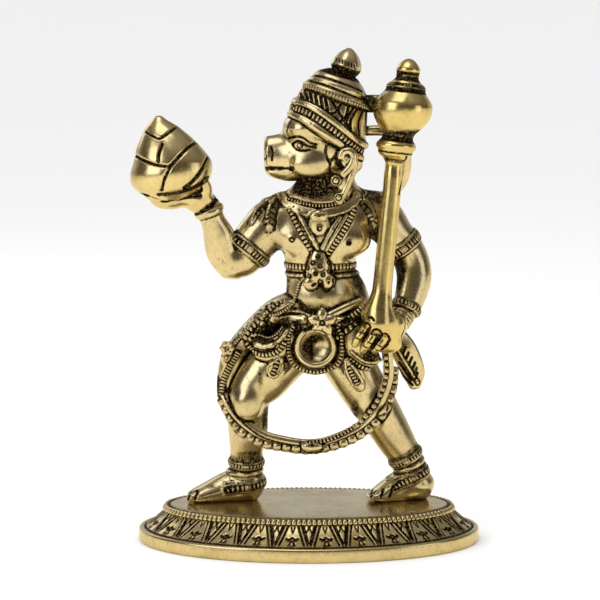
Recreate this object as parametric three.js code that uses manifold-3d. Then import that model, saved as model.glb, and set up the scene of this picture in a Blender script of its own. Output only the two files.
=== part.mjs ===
// A cast brass figure of a striding monkey-faced deity. It holds a hill on its raised right palm and
// a mace in its left hand, and stands on a flared oval plinth with a border of leaves.
// Millimetres, +Z up, front towards -Y. The origin is the middle of the plinth's underside.
import * as THREE from "three";
import { mergeVertices } from "three/addons/utils/BufferGeometryUtils.js";
import Module from "manifold-3d";

const wasm = await Module();
wasm.setup();

// Driving sizes of the plinth. It narrows from its flange to the rim round its flat top.
const PLINTH_WIDTH = 103;
const PLINTH_DEPTH = 67;
const PLINTH_HEIGHT = 11;
const TOP_WIDTH = 88;
const TOP_DEPTH = 48;
const FLANGE_HEIGHT = 4.2;
const FLANGE_ROUNDING = 0.7;
const BORDER_STEP = 2;
const BORDER_HOLLOW = 0.5;
const RIM_HEIGHT = 1.5;
const RIM_LIP = 0.6;
const LEAF_COUNT = 24;
const LEAF_RELIEF = 0.6;

// The lists below draw the figure DRAWN_HEIGHT tall, soles to crown tip, with its middle DRAWN_BACK behind
// the plinth's long axis. It is made FIGURE_HEIGHT tall, with its middle STANCE_BACK behind that axis.
const FIGURE_HEIGHT = 137.4;
const STANCE_BACK = 0.3;
const DRAWN_HEIGHT = 138.3;
const DRAWN_BACK = 5;

const BRASS = { color: 0xb59a55, roughness: 0.32, metalness: 1 };

const UP = new THREE.Vector3(0, 0, 1);
const BACK = new THREE.Vector3(0, 1, 0);
const RIGHT = new THREE.Vector3(1, 0, 0);
const LIMB_SIDES = 8;
const BODY_SIDES = 12;
const SMALL_SIDES = 6;
const FINGER_SIDES = 5;
// How far a rounded end swells past its last ring, and how much narrower it is there.
const END_SWELL = 0.55;
const END_NARROWING = 0.6;

// A closed geometry as a manifold solid.
function solid(geometry) {
  const bare = geometry.clone();
  bare.deleteAttribute("normal");
  bare.deleteAttribute("uv");
  const merged = mergeVertices(bare, 1e-4);
  return new wasm.Manifold(
    new wasm.Mesh({
      numProp: 3,
      vertProperties: new Float32Array(merged.attributes.position.array),
      triVerts: new Uint32Array(merged.index.array),
    }),
  );
}

function join(solids) {
  return wasm.Manifold.union(solids);
}

// A closed skin over a list of rings that all have the same number of points.
function skin(rings) {
  const count = rings[0].length;
  const points = rings.flat();
  const faces = [];
  for (let i = 0; i + 1 < rings.length; i++) {
    for (let j = 0; j < count; j++) {
      const k = (j + 1) % count;
      const low = i * count;
      const high = low + count;
      faces.push(low + j, low + k, high + j, low + k, high + k, high + j);
    }
  }
  const last = (rings.length - 1) * count;
  for (let j = 1; j + 1 < count; j++) {
    faces.push(0, j + 1, j, last, last + j, last + j + 1);
  }
  const geometry = new THREE.BufferGeometry().setFromPoints(points);
  geometry.setIndex(faces);
  return geometry;
}

// The two directions of a section that is square to `along`: across the form, and towards its back.
function sectionFrame(along) {
  const deep = BACK.clone().addScaledVector(along, -BACK.dot(along)).normalize();
  return { across: deep.clone().cross(along).normalize(), deep };
}

// A many-sided section with about the area of the oval that it stands for.
function oval(centre, along, halfWidth, halfDepth, sides) {
  const { across, deep } = sectionFrame(along);
  const full = 1 / Math.sqrt(Math.cos(Math.PI / sides));
  return Array.from({ length: sides }, (_, j) => {
    const turn = (j / sides) * 2 * Math.PI;
    return centre
      .clone()
      .addScaledVector(across, full * halfWidth * Math.cos(turn))
      .addScaledVector(deep, full * halfDepth * Math.sin(turn));
  });
}

// A smooth form through stations of [x, y, z, half width, half depth]. A band [from, to, out] raises a
// ring round it between two places, counted in stations. With `along` every section faces one way.
function form(stations, { sides = LIMB_SIDES, blunt = true, bands = [], along } = {}) {
  const last = stations.length - 1;
  const path = new THREE.CatmullRomCurve3(stations.map(([x, y, z]) => new THREE.Vector3(x, y, z)));
  const halves = new THREE.CatmullRomCurve3(stations.map(([, , , a, b]) => new THREE.Vector3(a, b, 0)));
  const free = stations.map((_, i) => i).filter((i) => !bands.some(([from, to]) => i >= from && i <= to));
  const marks = free.map((at) => ({ at, out: 0 }));
  for (const [from, to, out] of bands) {
    marks.push({ at: from, out: 0 }, { at: (from + to) / 2, out }, { at: to, out: 0 });
  }
  marks.sort((one, other) => one.at - other.at);
  const facing = (t) => along ?? path.getTangent(t);
  const ring = ({ at, out }) => {
    const t = at / last;
    const half = halves.getPoint(t);
    return oval(path.getPoint(t), facing(t), half.x + out, half.y + out, sides);
  };
  const end = (at, way) => {
    const [x, y, z, a, b] = stations[at];
    const direction = facing(at / last);
    const centre = new THREE.Vector3(x, y, z).addScaledVector(direction, way * END_SWELL * Math.min(a, b));
    return oval(centre, direction, a * END_NARROWING, b * END_NARROWING, sides);
  };
  const rings = marks.map(ring);
  return solid(skin(blunt ? [end(0, -1), ...rings, end(last, 1)] : rings));
}

// A flat strap along [x, y, z] points. Notches make its thickness and width change by turns.
function strap(points, width, thickness, { steps = 1, notch = 0 } = {}) {
  const path = new THREE.CatmullRomCurve3(points.map((p) => new THREE.Vector3(...p)));
  const spans = (points.length - 1) * steps;
  const rings = Array.from({ length: spans + 1 }, (_, i) => {
    const { across, deep } = sectionFrame(path.getTangent(i / spans));
    const trim = i % 2 ? notch : 0;
    return [
      [1, -1],
      [1, 1],
      [-1, 1],
      [-1, -1],
    ].map(([side, face]) =>
      path
        .getPoint(i / spans)
        .addScaledVector(across, side * (width / 2 - trim))
        .addScaledVector(deep, face * (thickness / 2 - trim)),
    );
  });
  return solid(skin(rings));
}

// A shape turned from [height, radius] points and stood at `foot` with its axis towards `tip`.
function turned(profile, foot, tip, sides = 10) {
  const axis = new THREE.Vector3(...tip).sub(new THREE.Vector3(...foot)).normalize();
  const outline = [[profile[0][0], 0], ...profile, [profile.at(-1)[0], 0]];
  const points = outline.map(([height, radius]) => new THREE.Vector2(radius, height));
  const geometry = new THREE.LatheGeometry(points, sides);
  geometry.applyQuaternion(new THREE.Quaternion().setFromUnitVectors(BACK, axis));
  geometry.translate(...foot);
  return solid(geometry);
}

function ball(centre, radii, across = 8, down = 5) {
  const geometry = new THREE.SphereGeometry(1, across, down);
  geometry.scale(...radii);
  geometry.translate(...centre);
  return solid(geometry);
}

const TORSO = [
  [2.6, 5, 46, 9.2, 7.8],
  [3.4, 5, 58, 11, 8.6],
  [3.6, 4.4, 64, 10.6, 8.6],
  [3.4, 4.8, 70, 10.2, 8],
  [3.4, 5, 75, 10.8, 8],
  [4.2, 5, 80, 12.6, 8.5],
  [4.8, 5, 85, 13.8, 8.4],
  [4.8, 5, 89.4, 14, 7.9],
  [4.5, 5, 92.8, 13.6, 7.2],
  [4.7, 4.8, 95.6, 10.9, 6.7],
  [5, 4.4, 98.6, 8.8, 6.6],
  [5.4, 4, 102, 8, 6.4],
];
const CHEST_BAND = [3.15, 3.95, 0.8];
const BREASTS = [
  [-3.2, -0.4, 81.8],
  [12.2, -0.4, 81.4],
];
const BREAST_RADII = [6.6, 3.8, 5.4];

const COLLAR = [
  [-8.8, 0.6, 95.4],
  [-4.6, -2.4, 90.6],
  [3.4, -3.8, 88],
  [11, -2.4, 90.8],
  [15, 0.6, 95.4],
];
const COLLAR_WIDTH = 2.8;
const COLLAR_THICKNESS = 2.2;
const PENDANT = [3.1, -3.4, 84.8];
const PENDANT_RADII = [3.2, 1.4, 3.4];
const MEDALLION = [3.4, -3.6, 71.8];
const MEDALLION_RADII = [3.2, 1.8, 5.4];
// Two straps rise from the medallion to the shoulders, one on each side of the chest's middle.
const CHEST_MIDDLE = 3.3;
const CHEST_STRAP = [
  [1.6, -3.9, 76.6],
  [5.5, -3.8, 82.8],
  [9.4, -2, 90],
];
const CHEST_STRAP_WIDTH = 3.4;
const CHEST_STRAP_THICKNESS = 2.2;
const SHOULDER_LEAVES = [
  [
    [-9.4, -1.6, 93],
    [-12, -2.4, 88.6],
    [-13.2, -3, 83.6],
  ],
  [
    [16.6, -1.2, 91.6],
    [18.4, -1.4, 88],
    [19.2, -1.6, 84.4],
  ],
];
const SHOULDER_LEAF_WIDTH = 3.6;
const SHOULDER_LEAF_THICKNESS = 2;

const RIGHT_ARM = [
  [-3, 5.4, 87, 6.4, 6.4],
  [-10.8, 4.8, 85.6, 7.5, 6.8],
  [-14.4, 4, 82.6, 7, 6.4],
  [-17.9, 3.2, 78.2, 6.6, 5.9],
  [-21.2, 2.4, 74.2, 5.6, 5.3],
  [-23.2, 2, 72.2, 4, 4.2],
];
const RIGHT_ARMLET = [2.7, 3.4, 0.6];
const RIGHT_FOREARM = [
  [-22.8, 1.9, 72.8, 4.6, 4.6],
  [-25.9, 0.9, 77.4, 4.9, 4.6],
  [-27, -0.2, 82.6, 4.7, 4.2],
  [-28.8, -1.2, 87.4, 3.7, 3.7],
  [-30.4, -1.9, 91.6, 4, 3.8],
  [-35.6, -2.4, 94.6, 3.9, 4.8],
  [-41, -2.6, 94.6, 3.4, 5.2],
  [-45.4, -2.8, 95.6, 2.6, 4.8],
];
const RIGHT_BRACELET = [2.95, 3.55, 0.9];
// A finger of the open hand, its y for the place 0 between the middle two, and how far the next one is.
const OPEN_FINGER = [
  [-40.6, -2.8, 93.4],
  [-46, -3, 94.2],
  [-50, -3, 97.6],
];
const OPEN_FINGER_PITCH = [2.5, 2.3, 2.1];
const OPEN_FINGER_RADIUS = 1.4;
const OPEN_THUMB = [
  [-31.4, -2.6, 93],
  [-31, -4.6, 97.6],
  [-32, -6.6, 101.6],
];
const OPEN_THUMB_RADIUS = 2;

const LEFT_ARM = [
  [12, 5.6, 87.6, 6.2, 6.4],
  [20.4, 6, 87.8, 6.8, 6.5],
  [26, 7, 81.8, 5.8, 5.6],
  [30.6, 8, 75, 5.4, 5.2],
  [31.8, 7.2, 69.4, 5.3, 5],
  [30.2, 4.8, 62.4, 4.6, 4.4],
  [27.4, 1.6, 57, 3.6, 3.5],
  [23.5, -2.4, 53, 4.4, 3.6],
];
const LEFT_ARMLET = [2.15, 2.7, 0.6];
const LEFT_BRACELET = [5.25, 5.85, 0.7];
const GRIP_PALM = [20.6, -5.4, 52.2];
const GRIP_PALM_RADII = [7.2, 4.2, 4.9];
// The first finger of the closed hand, and what each point of the next finger is moved by.
const GRIP_FINGER = [
  [19.4, -7.2, 58.2],
  [17.2, -9.1, 55.2],
  [14.8, -8.4, 50.2],
];
const GRIP_FINGER_STEP = [
  [1.8, 0, -1.7],
  [1.8, 0, -1.4],
  [2.1, 0, -0.5],
];
const GRIP_FINGER_RADIUS = 1.45;

const RIGHT_LEG = [
  [-2.5, 5, 50.5, 8.6, 7.8],
  [-8.5, 4.6, 45, 8.3, 7.4],
  [-13.8, 4.2, 39, 8, 7],
  [-18, 4, 33.6, 6.6, 6.4],
  [-18.6, 5, 28, 6.2, 6],
  [-18.6, 6.2, 22, 6, 5.8],
  [-19, 7.6, 15.6, 5.1, 5.1],
  [-19.1, 8.6, 9.6, 4.9, 4.9],
  [-18.6, 9.2, 4.6, 5, 5],
];
const RIGHT_FOOT = [
  [-17, 10.8, 3.4, 4.4, 4.5],
  [-21, 10, 4.4, 5.4, 4.8],
  [-25.5, 9, 3.8, 4.8, 4.9],
  [-29.5, 8, 2.8, 3.8, 5],
  [-32.6, 7.2, 1.8, 2.6, 4.8],
];

const LEFT_LEG = [
  [7.5, 5, 50.5, 8.6, 7.8],
  [11.5, 5, 44, 8, 7.4],
  [15.5, 5.4, 37, 7.4, 7],
  [19.6, 6, 30.5, 6.9, 6.6],
  [23, 6.8, 25, 6.3, 6.1],
  [26.6, 7.8, 18.8, 5.7, 5.6],
  [29.9, 8.9, 13, 4.9, 4.9],
  [31.9, 9.7, 8, 4.7, 4.8],
  [33.8, 10, 4.2, 4.9, 4.9],
];
const LEFT_FOOT = [
  [35.2, 12, 3.4, 4.2, 4.4],
  [31, 11, 4.4, 5, 4.8],
  [27, 9.6, 3.6, 4.6, 4.9],
  [23.6, 8.4, 2.6, 3.6, 4.9],
  [20.8, 7.4, 1.6, 2.6, 4.7],
];
// Places of four fingers or toes side by side, in pitches from the middle.
const PLACES_OF_FOUR = [-1.5, -0.5, 0.5, 1.5];
// A toe's root and tip, as moves from the foot's last station, and its half width and half depth there.
const TOE = [
  [1, 0, 0, 1.6, 1.2],
  [-3, -0.6, -0.3, 1.3, 1],
];
const TOE_PITCH = [2.2, 2.1];
const TOE_CURVE = 0.5;
const ANKLETS = [
  [6.2, 6.55, 0.5],
  [6.7, 7.05, 0.6],
  [7.3, 7.8, 1],
];

const HEAD = [
  [-13.5, 3, 106.9, 4.4, 3.4],
  [-12.6, 3, 106.2, 5.9, 4.5],
  [-9, 3, 105.8, 6.9, 5.1],
  [-6, 3, 106.2, 7.7, 5.9],
  [-2.5, 3, 108.2, 9.6, 7.3],
  [3, 3, 109, 10.5, 8.3],
  [8.5, 3, 108.6, 9.9, 8],
  [13, 3, 107.4, 7.6, 6.6],
  [16, 3.2, 106.4, 4, 3.8],
];
// Every ring of the crown slopes down towards the back of the head.
const CROWN_AXIS = new THREE.Vector3(0.37, 0, 0.93).normalize();
const CROWN = [
  [4.4, 3, 110.6, 11.6, 9.4],
  [5.3, 3, 113.6, 12.5, 10.2],
  [5.9, 3, 117.2, 12, 10],
  [7.1, 3, 120.6, 11, 9.4],
  [8.1, 3, 123.6, 10.1, 8.8],
  [9, 3, 126.2, 9.2, 8.1],
  [9.5, 3, 128.8, 7.5, 6.8],
  [10.2, 3, 130.8, 4.4, 4.2],
];
const CROWN_BANDS = [
  [0.8, 1.5, 0.6],
  [3.9, 4.4, 0.6],
];
const FINIAL = [
  [0, 3.8],
  [1.2, 4.5],
  [3, 4.3],
  [5.2, 3],
  [6.8, 1.7],
  [7.8, 0.7],
];
// The finial's foot is sunk into the crown's last ring and moved back of its middle by this much.
const FINIAL_SINK = 0.3;
const FINIAL_BACK = 0.5;
const FINIAL_LEAN = 0.6;

// Ears, given by their paths in x, z and depth past the side of the head that each is on.
const EAR = [
  [11.4, 0.4, 110, 1, 1.2],
  [13.4, 0, 107, 1.8, 1.4],
  [12, 0, 103.4, 1.6, 1.2],
  [9.6, 0.2, 101, 1, 1],
];
const EAR_DEPTHS = [-4.6, 10.6];
const EAR_RING = [8.2, -4.4, 99.8];
const EAR_RING_RADII = [2.7, 1.6, 2.8];
const EAR_DROP = [
  [8.4, -3.4, 98.4, 1.6, 2],
  [9, -3.4, 95.6, 1.9, 2.2],
  [8.8, -3, 92.6, 0.8, 1.4],
];
const EYE = [-2.3, -3.4, 109.2];
const EYE_RADII = [2.6, 1.4, 1.2];

const MACE_FOOT = [20.4, -8, 54];
const MACE_TIP = [29.8, -3, 135.4];
const MACE = [
  [0, 4.4],
  [3.5, 4.6],
  [7.5, 3.5],
  [12, 3],
  [52.4, 2.7],
  [52.8, 4.6],
  [54.6, 5.1],
  [55.2, 6],
  [56.9, 6],
  [57.6, 4.2],
  [60.4, 5],
  [63.8, 7.9],
  [66.6, 8.9],
  [69.4, 8.6],
  [72.4, 5.6],
  [75, 5.8],
  [75.9, 3.8],
  [79, 3.5],
  [80.9, 2.2],
  [82, 0.7],
];

const HILL = [
  [-41.4, -3, 93.6, 6, 5],
  [-41.6, -3, 97.6, 11.2, 9.2],
  [-41, -3, 101.4, 12.1, 10],
  [-40.5, -3, 105, 11.6, 9.6],
  [-41.4, -3, 108.6, 9.9, 8.4],
  [-42.4, -3, 112.2, 7.4, 6.5],
  [-43.6, -3, 115.4, 4.6, 4.1],
  [-44.5, -3, 117.6, 1.7, 1.6],
];
const GROOVE_DEPTH = 1;
const GROOVE_WIDTH = 0.55;
// Ends of the cracks across the hill's front, in x and z.
const HILL_CRACKS = [
  [-48.8, 113, -44.9, 110.9],
  [-44.9, 110.9, -38.8, 113.8],
  [-51.8, 106, -43, 102.6],
  [-43, 102.6, -33.4, 109.6],
  [-43, 102.6, -44.2, 96],
  [-30.6, 105.6, -36.8, 96.4],
];

const TAIL = [
  [3, 10, 52, 2.6, 2.6],
  [4, 16, 57, 2.5, 2.5],
  [8, 20, 67, 2.4, 2.4],
  [14, 20.4, 79, 2.3, 2.3],
  [21, 17.4, 90, 2.2, 2.2],
  [27.6, 13.4, 97.4, 2.1, 2.1],
  [29, 11, 103, 2, 2],
  [28.2, 8.6, 109, 1.9, 1.9],
  [24.4, 6.4, 113, 1.7, 1.7],
  [14, 5, 113.4, 1.5, 1.5],
];
const REAR_SASH_END = [
  [11, 9, 56, 2.4, 2.4],
  [18, 9.8, 56, 2.6, 2.2],
  [24.6, 10.8, 52.4, 3, 2],
  [29.2, 12, 45.6, 4.2, 1.7],
  [32, 13.2, 38.8, 3.8, 1.5],
  [32.6, 13.8, 33.6, 1.6, 1.1],
];
const HIP_SASH = [
  [-1, 5, 62.4, 4, 7.6],
  [-9, 5.4, 59.2, 4.2, 7.6],
  [-15.2, 6, 54, 4, 7.2],
  [-20.2, 6.2, 48.8, 3.6, 6],
  [-23.4, 5.8, 43.8, 3.5, 4.2],
  [-25, 5, 38.6, 2.9, 3],
  [-26.3, 3.8, 32, 1.7, 2],
];

const GARLAND_INNER = [
  [-26, 4.6, 39],
  [-25.8, 3, 34.6],
  [-22.9, 0.8, 29.4],
  [-15.1, -1.6, 22.7],
  [-6.4, -3, 20.3],
  [0.8, -3.3, 19.6],
  [7.6, -2.8, 21.1],
  [15, -1.8, 24.9],
  [20.6, -1.2, 31.4],
  [23.7, -1.4, 39.8],
  [23.4, -1.6, 48],
];
const GARLAND_OUTER = [
  [-26.4, 4, 31.6],
  [-21.8, 0.8, 24],
  [-14.6, -1.4, 19.8],
  [-6.6, -2.6, 18.4],
  [0.8, -3, 17.8],
  [8.4, -2.4, 19.2],
  [16.8, -1, 23],
  [22.4, 0.2, 28.6],
  [25.4, 2.4, 35.6],
];

const RIGHT_SWAG = [
  [-19, 0.4, 51.4],
  [-16.6, -2, 47.4],
  [-12.6, -3.8, 46.2],
  [-8.8, -4.6, 48.2],
  [-6.4, -4.8, 53],
];
const LEFT_SWAG = [
  [11.6, -4.6, 48],
  [14.7, -3.6, 44.2],
  [17.9, -2.4, 42.6],
  [20.9, -1.2, 43.4],
  [22.8, 0.2, 46.4],
];
const SWAG_WIDTH = 3;
const SWAG_THICKNESS = 2.4;
const SWAG_NOTCH = 0.3;
const HIPS = [
  [2.6, 5, 43.6, 9, 8.2],
  [2.6, 5, 49.6, 12.2, 9.6],
  [3, 5, 56, 12.6, 9.8],
  [3.6, 5, 61, 11.2, 8.8],
];
const BELTS = [
  [1.85, 2.15, 0.7],
  [2.45, 2.8, 0.7],
];
// The pouch is an open bowl with a rim, and a strap of trim runs round its lower half.
const POUCH = [1.85, -4.2, 49];
const POUCH_RADII = [6.5, 3.8, 6];
const POUCH_RIM = 1.3;
const POUCH_LIFT = 0.5;
const TRIM = [1.85, -3.4, 49.4];
const TRIM_RADII = [7.4, 7.2];
const TRIM_WIDTH = 1.5;
const TRIM_THICKNESS = 2.2;
const TRIM_SPANS = 6;
// Half turns at which the trim starts, and that it covers.
const TRIM_START = 1.02;
const TRIM_SWEEP = 0.96;
const BUCKLE = [
  [0, 3.5],
  [1.4, 3.3],
  [2.2, 1.2],
];
const BUCKLE_FOOT = [3.7, -4.6, 57.2];
const BUCKLE_TIP = [3.7, -7, 57.2];
const RIGHT_TASSEL = [
  [-8, -3.6, 46],
  [-12.4, -3.4, 38.8],
];
const RIGHT_TASSEL_WIDTH = 5.6;
const LEFT_TASSEL = [
  [10.4, -3.4, 46],
  [16, -1.8, 35.8],
];
const LEFT_TASSEL_WIDTH = 5.2;
const SASH_KNOT = [-25, 2.4, 45.4];
const SASH_KNOT_RADII = [1.8, 1.8, 1.8];

const GARLAND_INNER_SIZE = [2.6, 2];
const GARLAND_OUTER_SIZE = [3, 1.8];
const GARLAND_NOTCH = 0.2;
const CLASP = [0.8, -3.4, 18.4];
const CLASP_SIZE = [5.6, 2.8, 3.8];

// The caster's stub between the crown and the mace head.
const STUB = [
  [14, 2, 121.8, 2.6, 1.8],
  [22, -1, 121.8, 2.8, 1.8],
];

function torso() {
  return join([
    form(TORSO, { sides: BODY_SIDES, bands: [CHEST_BAND], along: UP }),
    ...BREASTS.map((centre) => ball(centre, BREAST_RADII)),
  ]);
}

// The collar plate with its pendant, crossed straps, a leaf on each shoulder and the medallion.
function chest() {
  const straps = [-1, 1].map((side) =>
    strap(
      CHEST_STRAP.map(([out, y, z]) => [CHEST_MIDDLE + side * out, y, z]),
      CHEST_STRAP_WIDTH,
      CHEST_STRAP_THICKNESS,
      { steps: 2 },
    ),
  );
  return join([
    torso(),
    strap(COLLAR, COLLAR_WIDTH, COLLAR_THICKNESS, { steps: 2 }),
    ball(PENDANT, PENDANT_RADII),
    ...straps,
    ...SHOULDER_LEAVES.map((points) => strap(points, SHOULDER_LEAF_WIDTH, SHOULDER_LEAF_THICKNESS)),
    ball(MEDALLION, MEDALLION_RADII),
  ]);
}

function ear(depth) {
  const stations = EAR.map(([x, out, ...rest]) => [x, depth + out, ...rest]);
  return form(stations, { sides: SMALL_SIDES, blunt: false });
}

function finial() {
  const [x, y, z] = CROWN.at(-1);
  const foot = [x + FINIAL_BACK, y, z - FINIAL_SINK];
  return turned(FINIAL, foot, [x + FINIAL_BACK + FINIAL_LEAN, y, DRAWN_HEIGHT]);
}

function head() {
  return join([
    form(HEAD, { sides: BODY_SIDES, blunt: false, along: RIGHT }),
    form(CROWN, { sides: BODY_SIDES, blunt: false, bands: CROWN_BANDS, along: CROWN_AXIS }),
    finial(),
    ...EAR_DEPTHS.map(ear),
    ball(EAR_RING, EAR_RING_RADII),
    form(EAR_DROP, { sides: SMALL_SIDES, blunt: false }),
    ball(EYE, EYE_RADII, 8, 4),
  ]);
}

// Finger paths run from the palm to the tip. Each is given by its first, middle and last point.
function finger(points, radius) {
  const stations = points.map((point, i) => {
    const half = radius * (1.1 - 0.15 * i);
    return [...point, half, half];
  });
  return form(stations, { sides: FINGER_SIDES, blunt: false });
}

function rightArm() {
  const fingers = PLACES_OF_FOUR.map((place) =>
    finger(
      OPEN_FINGER.map(([x, y, z], i) => [x, y + place * OPEN_FINGER_PITCH[i], z]),
      OPEN_FINGER_RADIUS,
    ),
  );
  return join([
    form(RIGHT_ARM, { bands: [RIGHT_ARMLET] }),
    form(RIGHT_FOREARM, { bands: [RIGHT_BRACELET] }),
    ...fingers,
    finger(OPEN_THUMB, OPEN_THUMB_RADIUS),
    hill(),
  ]);
}

// A point on the hill's front face above x and z.
function hillFront(x, z) {
  const above = Math.max(1, HILL.findIndex((station) => station[2] >= z));
  const [low, high] = [HILL[above - 1], HILL[above]];
  const share = (z - low[2]) / (high[2] - low[2]);
  const [middle, depth, , halfWidth, halfDepth] = low.map((value, i) => value + (high[i] - value) * share);
  const across = Math.min(1, Math.abs(x - middle) / halfWidth);
  return [x, depth - halfDepth * Math.sqrt(1 - across * across), z];
}

// The hill's front is cracked to GROOVE_DEPTH along the curve of the stone.
function hill() {
  const cracks = HILL_CRACKS.map(([x0, z0, x1, z1]) => {
    const shares = Math.hypot(x1 - x0, z1 - z0) > 8 ? [0, 0.5, 1] : [0, 1];
    const points = shares.map((share) => hillFront(x0 + (x1 - x0) * share, z0 + (z1 - z0) * share));
    return strap(points, GROOVE_WIDTH, 2 * GROOVE_DEPTH);
  });
  return form(HILL, { sides: BODY_SIDES, blunt: false, along: UP }).subtract(join(cracks));
}

function leftArm() {
  const fingers = [0, 1, 2, 3].map((place) =>
    finger(
      GRIP_FINGER.map((point, i) => point.map((value, axis) => value + place * GRIP_FINGER_STEP[i][axis])),
      GRIP_FINGER_RADIUS,
    ),
  );
  return join([
    form(LEFT_ARM, { bands: [LEFT_ARMLET, LEFT_BRACELET] }),
    ball(GRIP_PALM, GRIP_PALM_RADII),
    ...fingers,
    turned(MACE, MACE_FOOT, MACE_TIP),
  ]);
}

// A leg with three rings of anklets and a foot, whose outer toes are the shorter ones.
function leg(path, foot) {
  const [ballX, ballY, ballZ] = foot.at(-1);
  const toes = PLACES_OF_FOUR.map((place) =>
    form(
      TOE.map(([x, y, z, a, b], i) => [
        ballX + x + i * TOE_CURVE * Math.abs(place),
        ballY + y + place * TOE_PITCH[i],
        ballZ + z,
        a,
        b,
      ]),
      { sides: FINGER_SIDES, blunt: false },
    ),
  );
  return join([form(path, { bands: ANKLETS }), form(foot), ...toes]);
}

// A pointed leaf tassel that hangs from one place to another.
function tassel([from, to], width) {
  const middle = from.map((value, i) => value * 0.45 + to[i] * 0.55);
  return form(
    [
      [...from, width * 0.3, 1],
      [...middle, width / 2, 1.2],
      [...to, width * 0.25, 0.8],
    ],
    { sides: SMALL_SIDES, blunt: false },
  );
}

function pouch() {
  const [x, y, z] = POUCH;
  const inside = POUCH_RADII.map((radius, i) => (i === 1 ? radius : radius - POUCH_RIM));
  const hollow = ball([x, y - POUCH_RADII[1], z + POUCH_LIFT], inside, 10, 6);
  const trimPath = Array.from({ length: TRIM_SPANS + 1 }, (_, i) => {
    const turn = Math.PI * (TRIM_START + (TRIM_SWEEP * i) / TRIM_SPANS);
    return [TRIM[0] + TRIM_RADII[0] * Math.cos(turn), TRIM[1], TRIM[2] + TRIM_RADII[1] * Math.sin(turn)];
  });
  return join([
    ball(POUCH, POUCH_RADII, 12, 6).subtract(hollow),
    strap(trimPath, TRIM_WIDTH, TRIM_THICKNESS),
  ]);
}

function waistCloth() {
  return join([
    form(HIPS, { sides: BODY_SIDES, blunt: false, bands: BELTS, along: UP }),
    pouch(),
    turned(BUCKLE, BUCKLE_FOOT, BUCKLE_TIP, 8),
    tassel(RIGHT_TASSEL, RIGHT_TASSEL_WIDTH),
    tassel(LEFT_TASSEL, LEFT_TASSEL_WIDTH),
    ...[RIGHT_SWAG, LEFT_SWAG].map((points) =>
      strap(points, SWAG_WIDTH, SWAG_THICKNESS, { steps: 2, notch: SWAG_NOTCH }),
    ),
    form(HIP_SASH, { sides: LIMB_SIDES, blunt: false }),
    form(REAR_SASH_END, { sides: SMALL_SIDES, blunt: false }),
    ball(SASH_KNOT, SASH_KNOT_RADII, 6, 4),
  ]);
}

// The two strips that swing between the legs, joined by a clasp at their lowest point.
function garland() {
  const clasp = new THREE.BoxGeometry(...CLASP_SIZE);
  clasp.translate(...CLASP);
  return join([
    strap(GARLAND_INNER, ...GARLAND_INNER_SIZE, { steps: 2, notch: GARLAND_NOTCH }),
    strap(GARLAND_OUTER, ...GARLAND_OUTER_SIZE, { steps: 2, notch: GARLAND_NOTCH }),
    solid(clasp),
  ]);
}

function figure() {
  const scale = FIGURE_HEIGHT / DRAWN_HEIGHT;
  return join([
    chest(),
    head(),
    rightArm(),
    leftArm(),
    leg(RIGHT_LEG, RIGHT_FOOT),
    leg(LEFT_LEG, LEFT_FOOT),
    waistCloth(),
    garland(),
    form(TAIL, { sides: SMALL_SIDES, blunt: false }),
    form(STUB, { sides: SMALL_SIDES, blunt: false }),
  ])
    .trimByPlane([0, 0, 1], 0)
    .translate([0, -DRAWN_BACK, 0])
    .scale([scale, scale, scale]);
}

// A ring of the plinth. `spread` is 1 at the flange's outline and 0 at the rim's, moved in by `inset`.
// Every second point is the middle of a leaf, and stands out by `relief`.
function plinthRing(spread, inset, height, relief = 0) {
  const sides = 2 * LEAF_COUNT;
  const width = TOP_WIDTH + (PLINTH_WIDTH - TOP_WIDTH) * spread;
  const depth = TOP_DEPTH + (PLINTH_DEPTH - TOP_DEPTH) * spread;
  return Array.from({ length: sides }, (_, j) => {
    const turn = (j / sides) * 2 * Math.PI;
    const out = (j % 2 ? relief : 0) - inset;
    return new THREE.Vector3((width / 2 + out) * Math.cos(turn), (depth / 2 + out) * Math.sin(turn), height);
  });
}

// A ring of the leaf border, at a share of the way from the flange up to the rim.
function borderRing(share, relief) {
  const inset = BORDER_STEP + (RIM_LIP - BORDER_STEP) * share + BORDER_HOLLOW * Math.sin(share * Math.PI);
  const rise = PLINTH_HEIGHT - RIM_HEIGHT - FLANGE_HEIGHT;
  return plinthRing(1 - share, inset, FLANGE_HEIGHT + rise * share, relief);
}

function plinth() {
  const rimEdge = RIM_HEIGHT / 3;
  return solid(
    skin([
      plinthRing(1, FLANGE_ROUNDING, 0),
      plinthRing(1, 0, FLANGE_ROUNDING),
      plinthRing(1, 0, FLANGE_HEIGHT - FLANGE_ROUNDING),
      plinthRing(1, FLANGE_ROUNDING, FLANGE_HEIGHT),
      borderRing(0, 0),
      borderRing(0.08, LEAF_RELIEF),
      borderRing(0.5, LEAF_RELIEF),
      borderRing(1, 0),
      plinthRing(0, 0, PLINTH_HEIGHT - RIM_HEIGHT),
      plinthRing(0, 0, PLINTH_HEIGHT - rimEdge),
      plinthRing(0, rimEdge, PLINTH_HEIGHT),
    ]),
  );
}

// A named mesh of one solid, moved up by `height` and back by `back`.
function node(name, made, height = 0, back = 0) {
  const { vertProperties, triVerts } = made.getMesh();
  const geometry = new THREE.BufferGeometry();
  geometry.setAttribute("position", new THREE.BufferAttribute(vertProperties, 3));
  geometry.setIndex(new THREE.BufferAttribute(triVerts, 1));
  geometry.computeVertexNormals();
  const mesh = new THREE.Mesh(geometry, new THREE.MeshStandardMaterial(BRASS));
  mesh.name = name;
  mesh.position.set(0, back, height);
  return mesh;
}

const hanuman = new THREE.Group();
hanuman.add(node("plinth", plinth()));
hanuman.add(node("figure", figure(), PLINTH_HEIGHT, STANCE_BACK));
export default hanuman;
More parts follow.
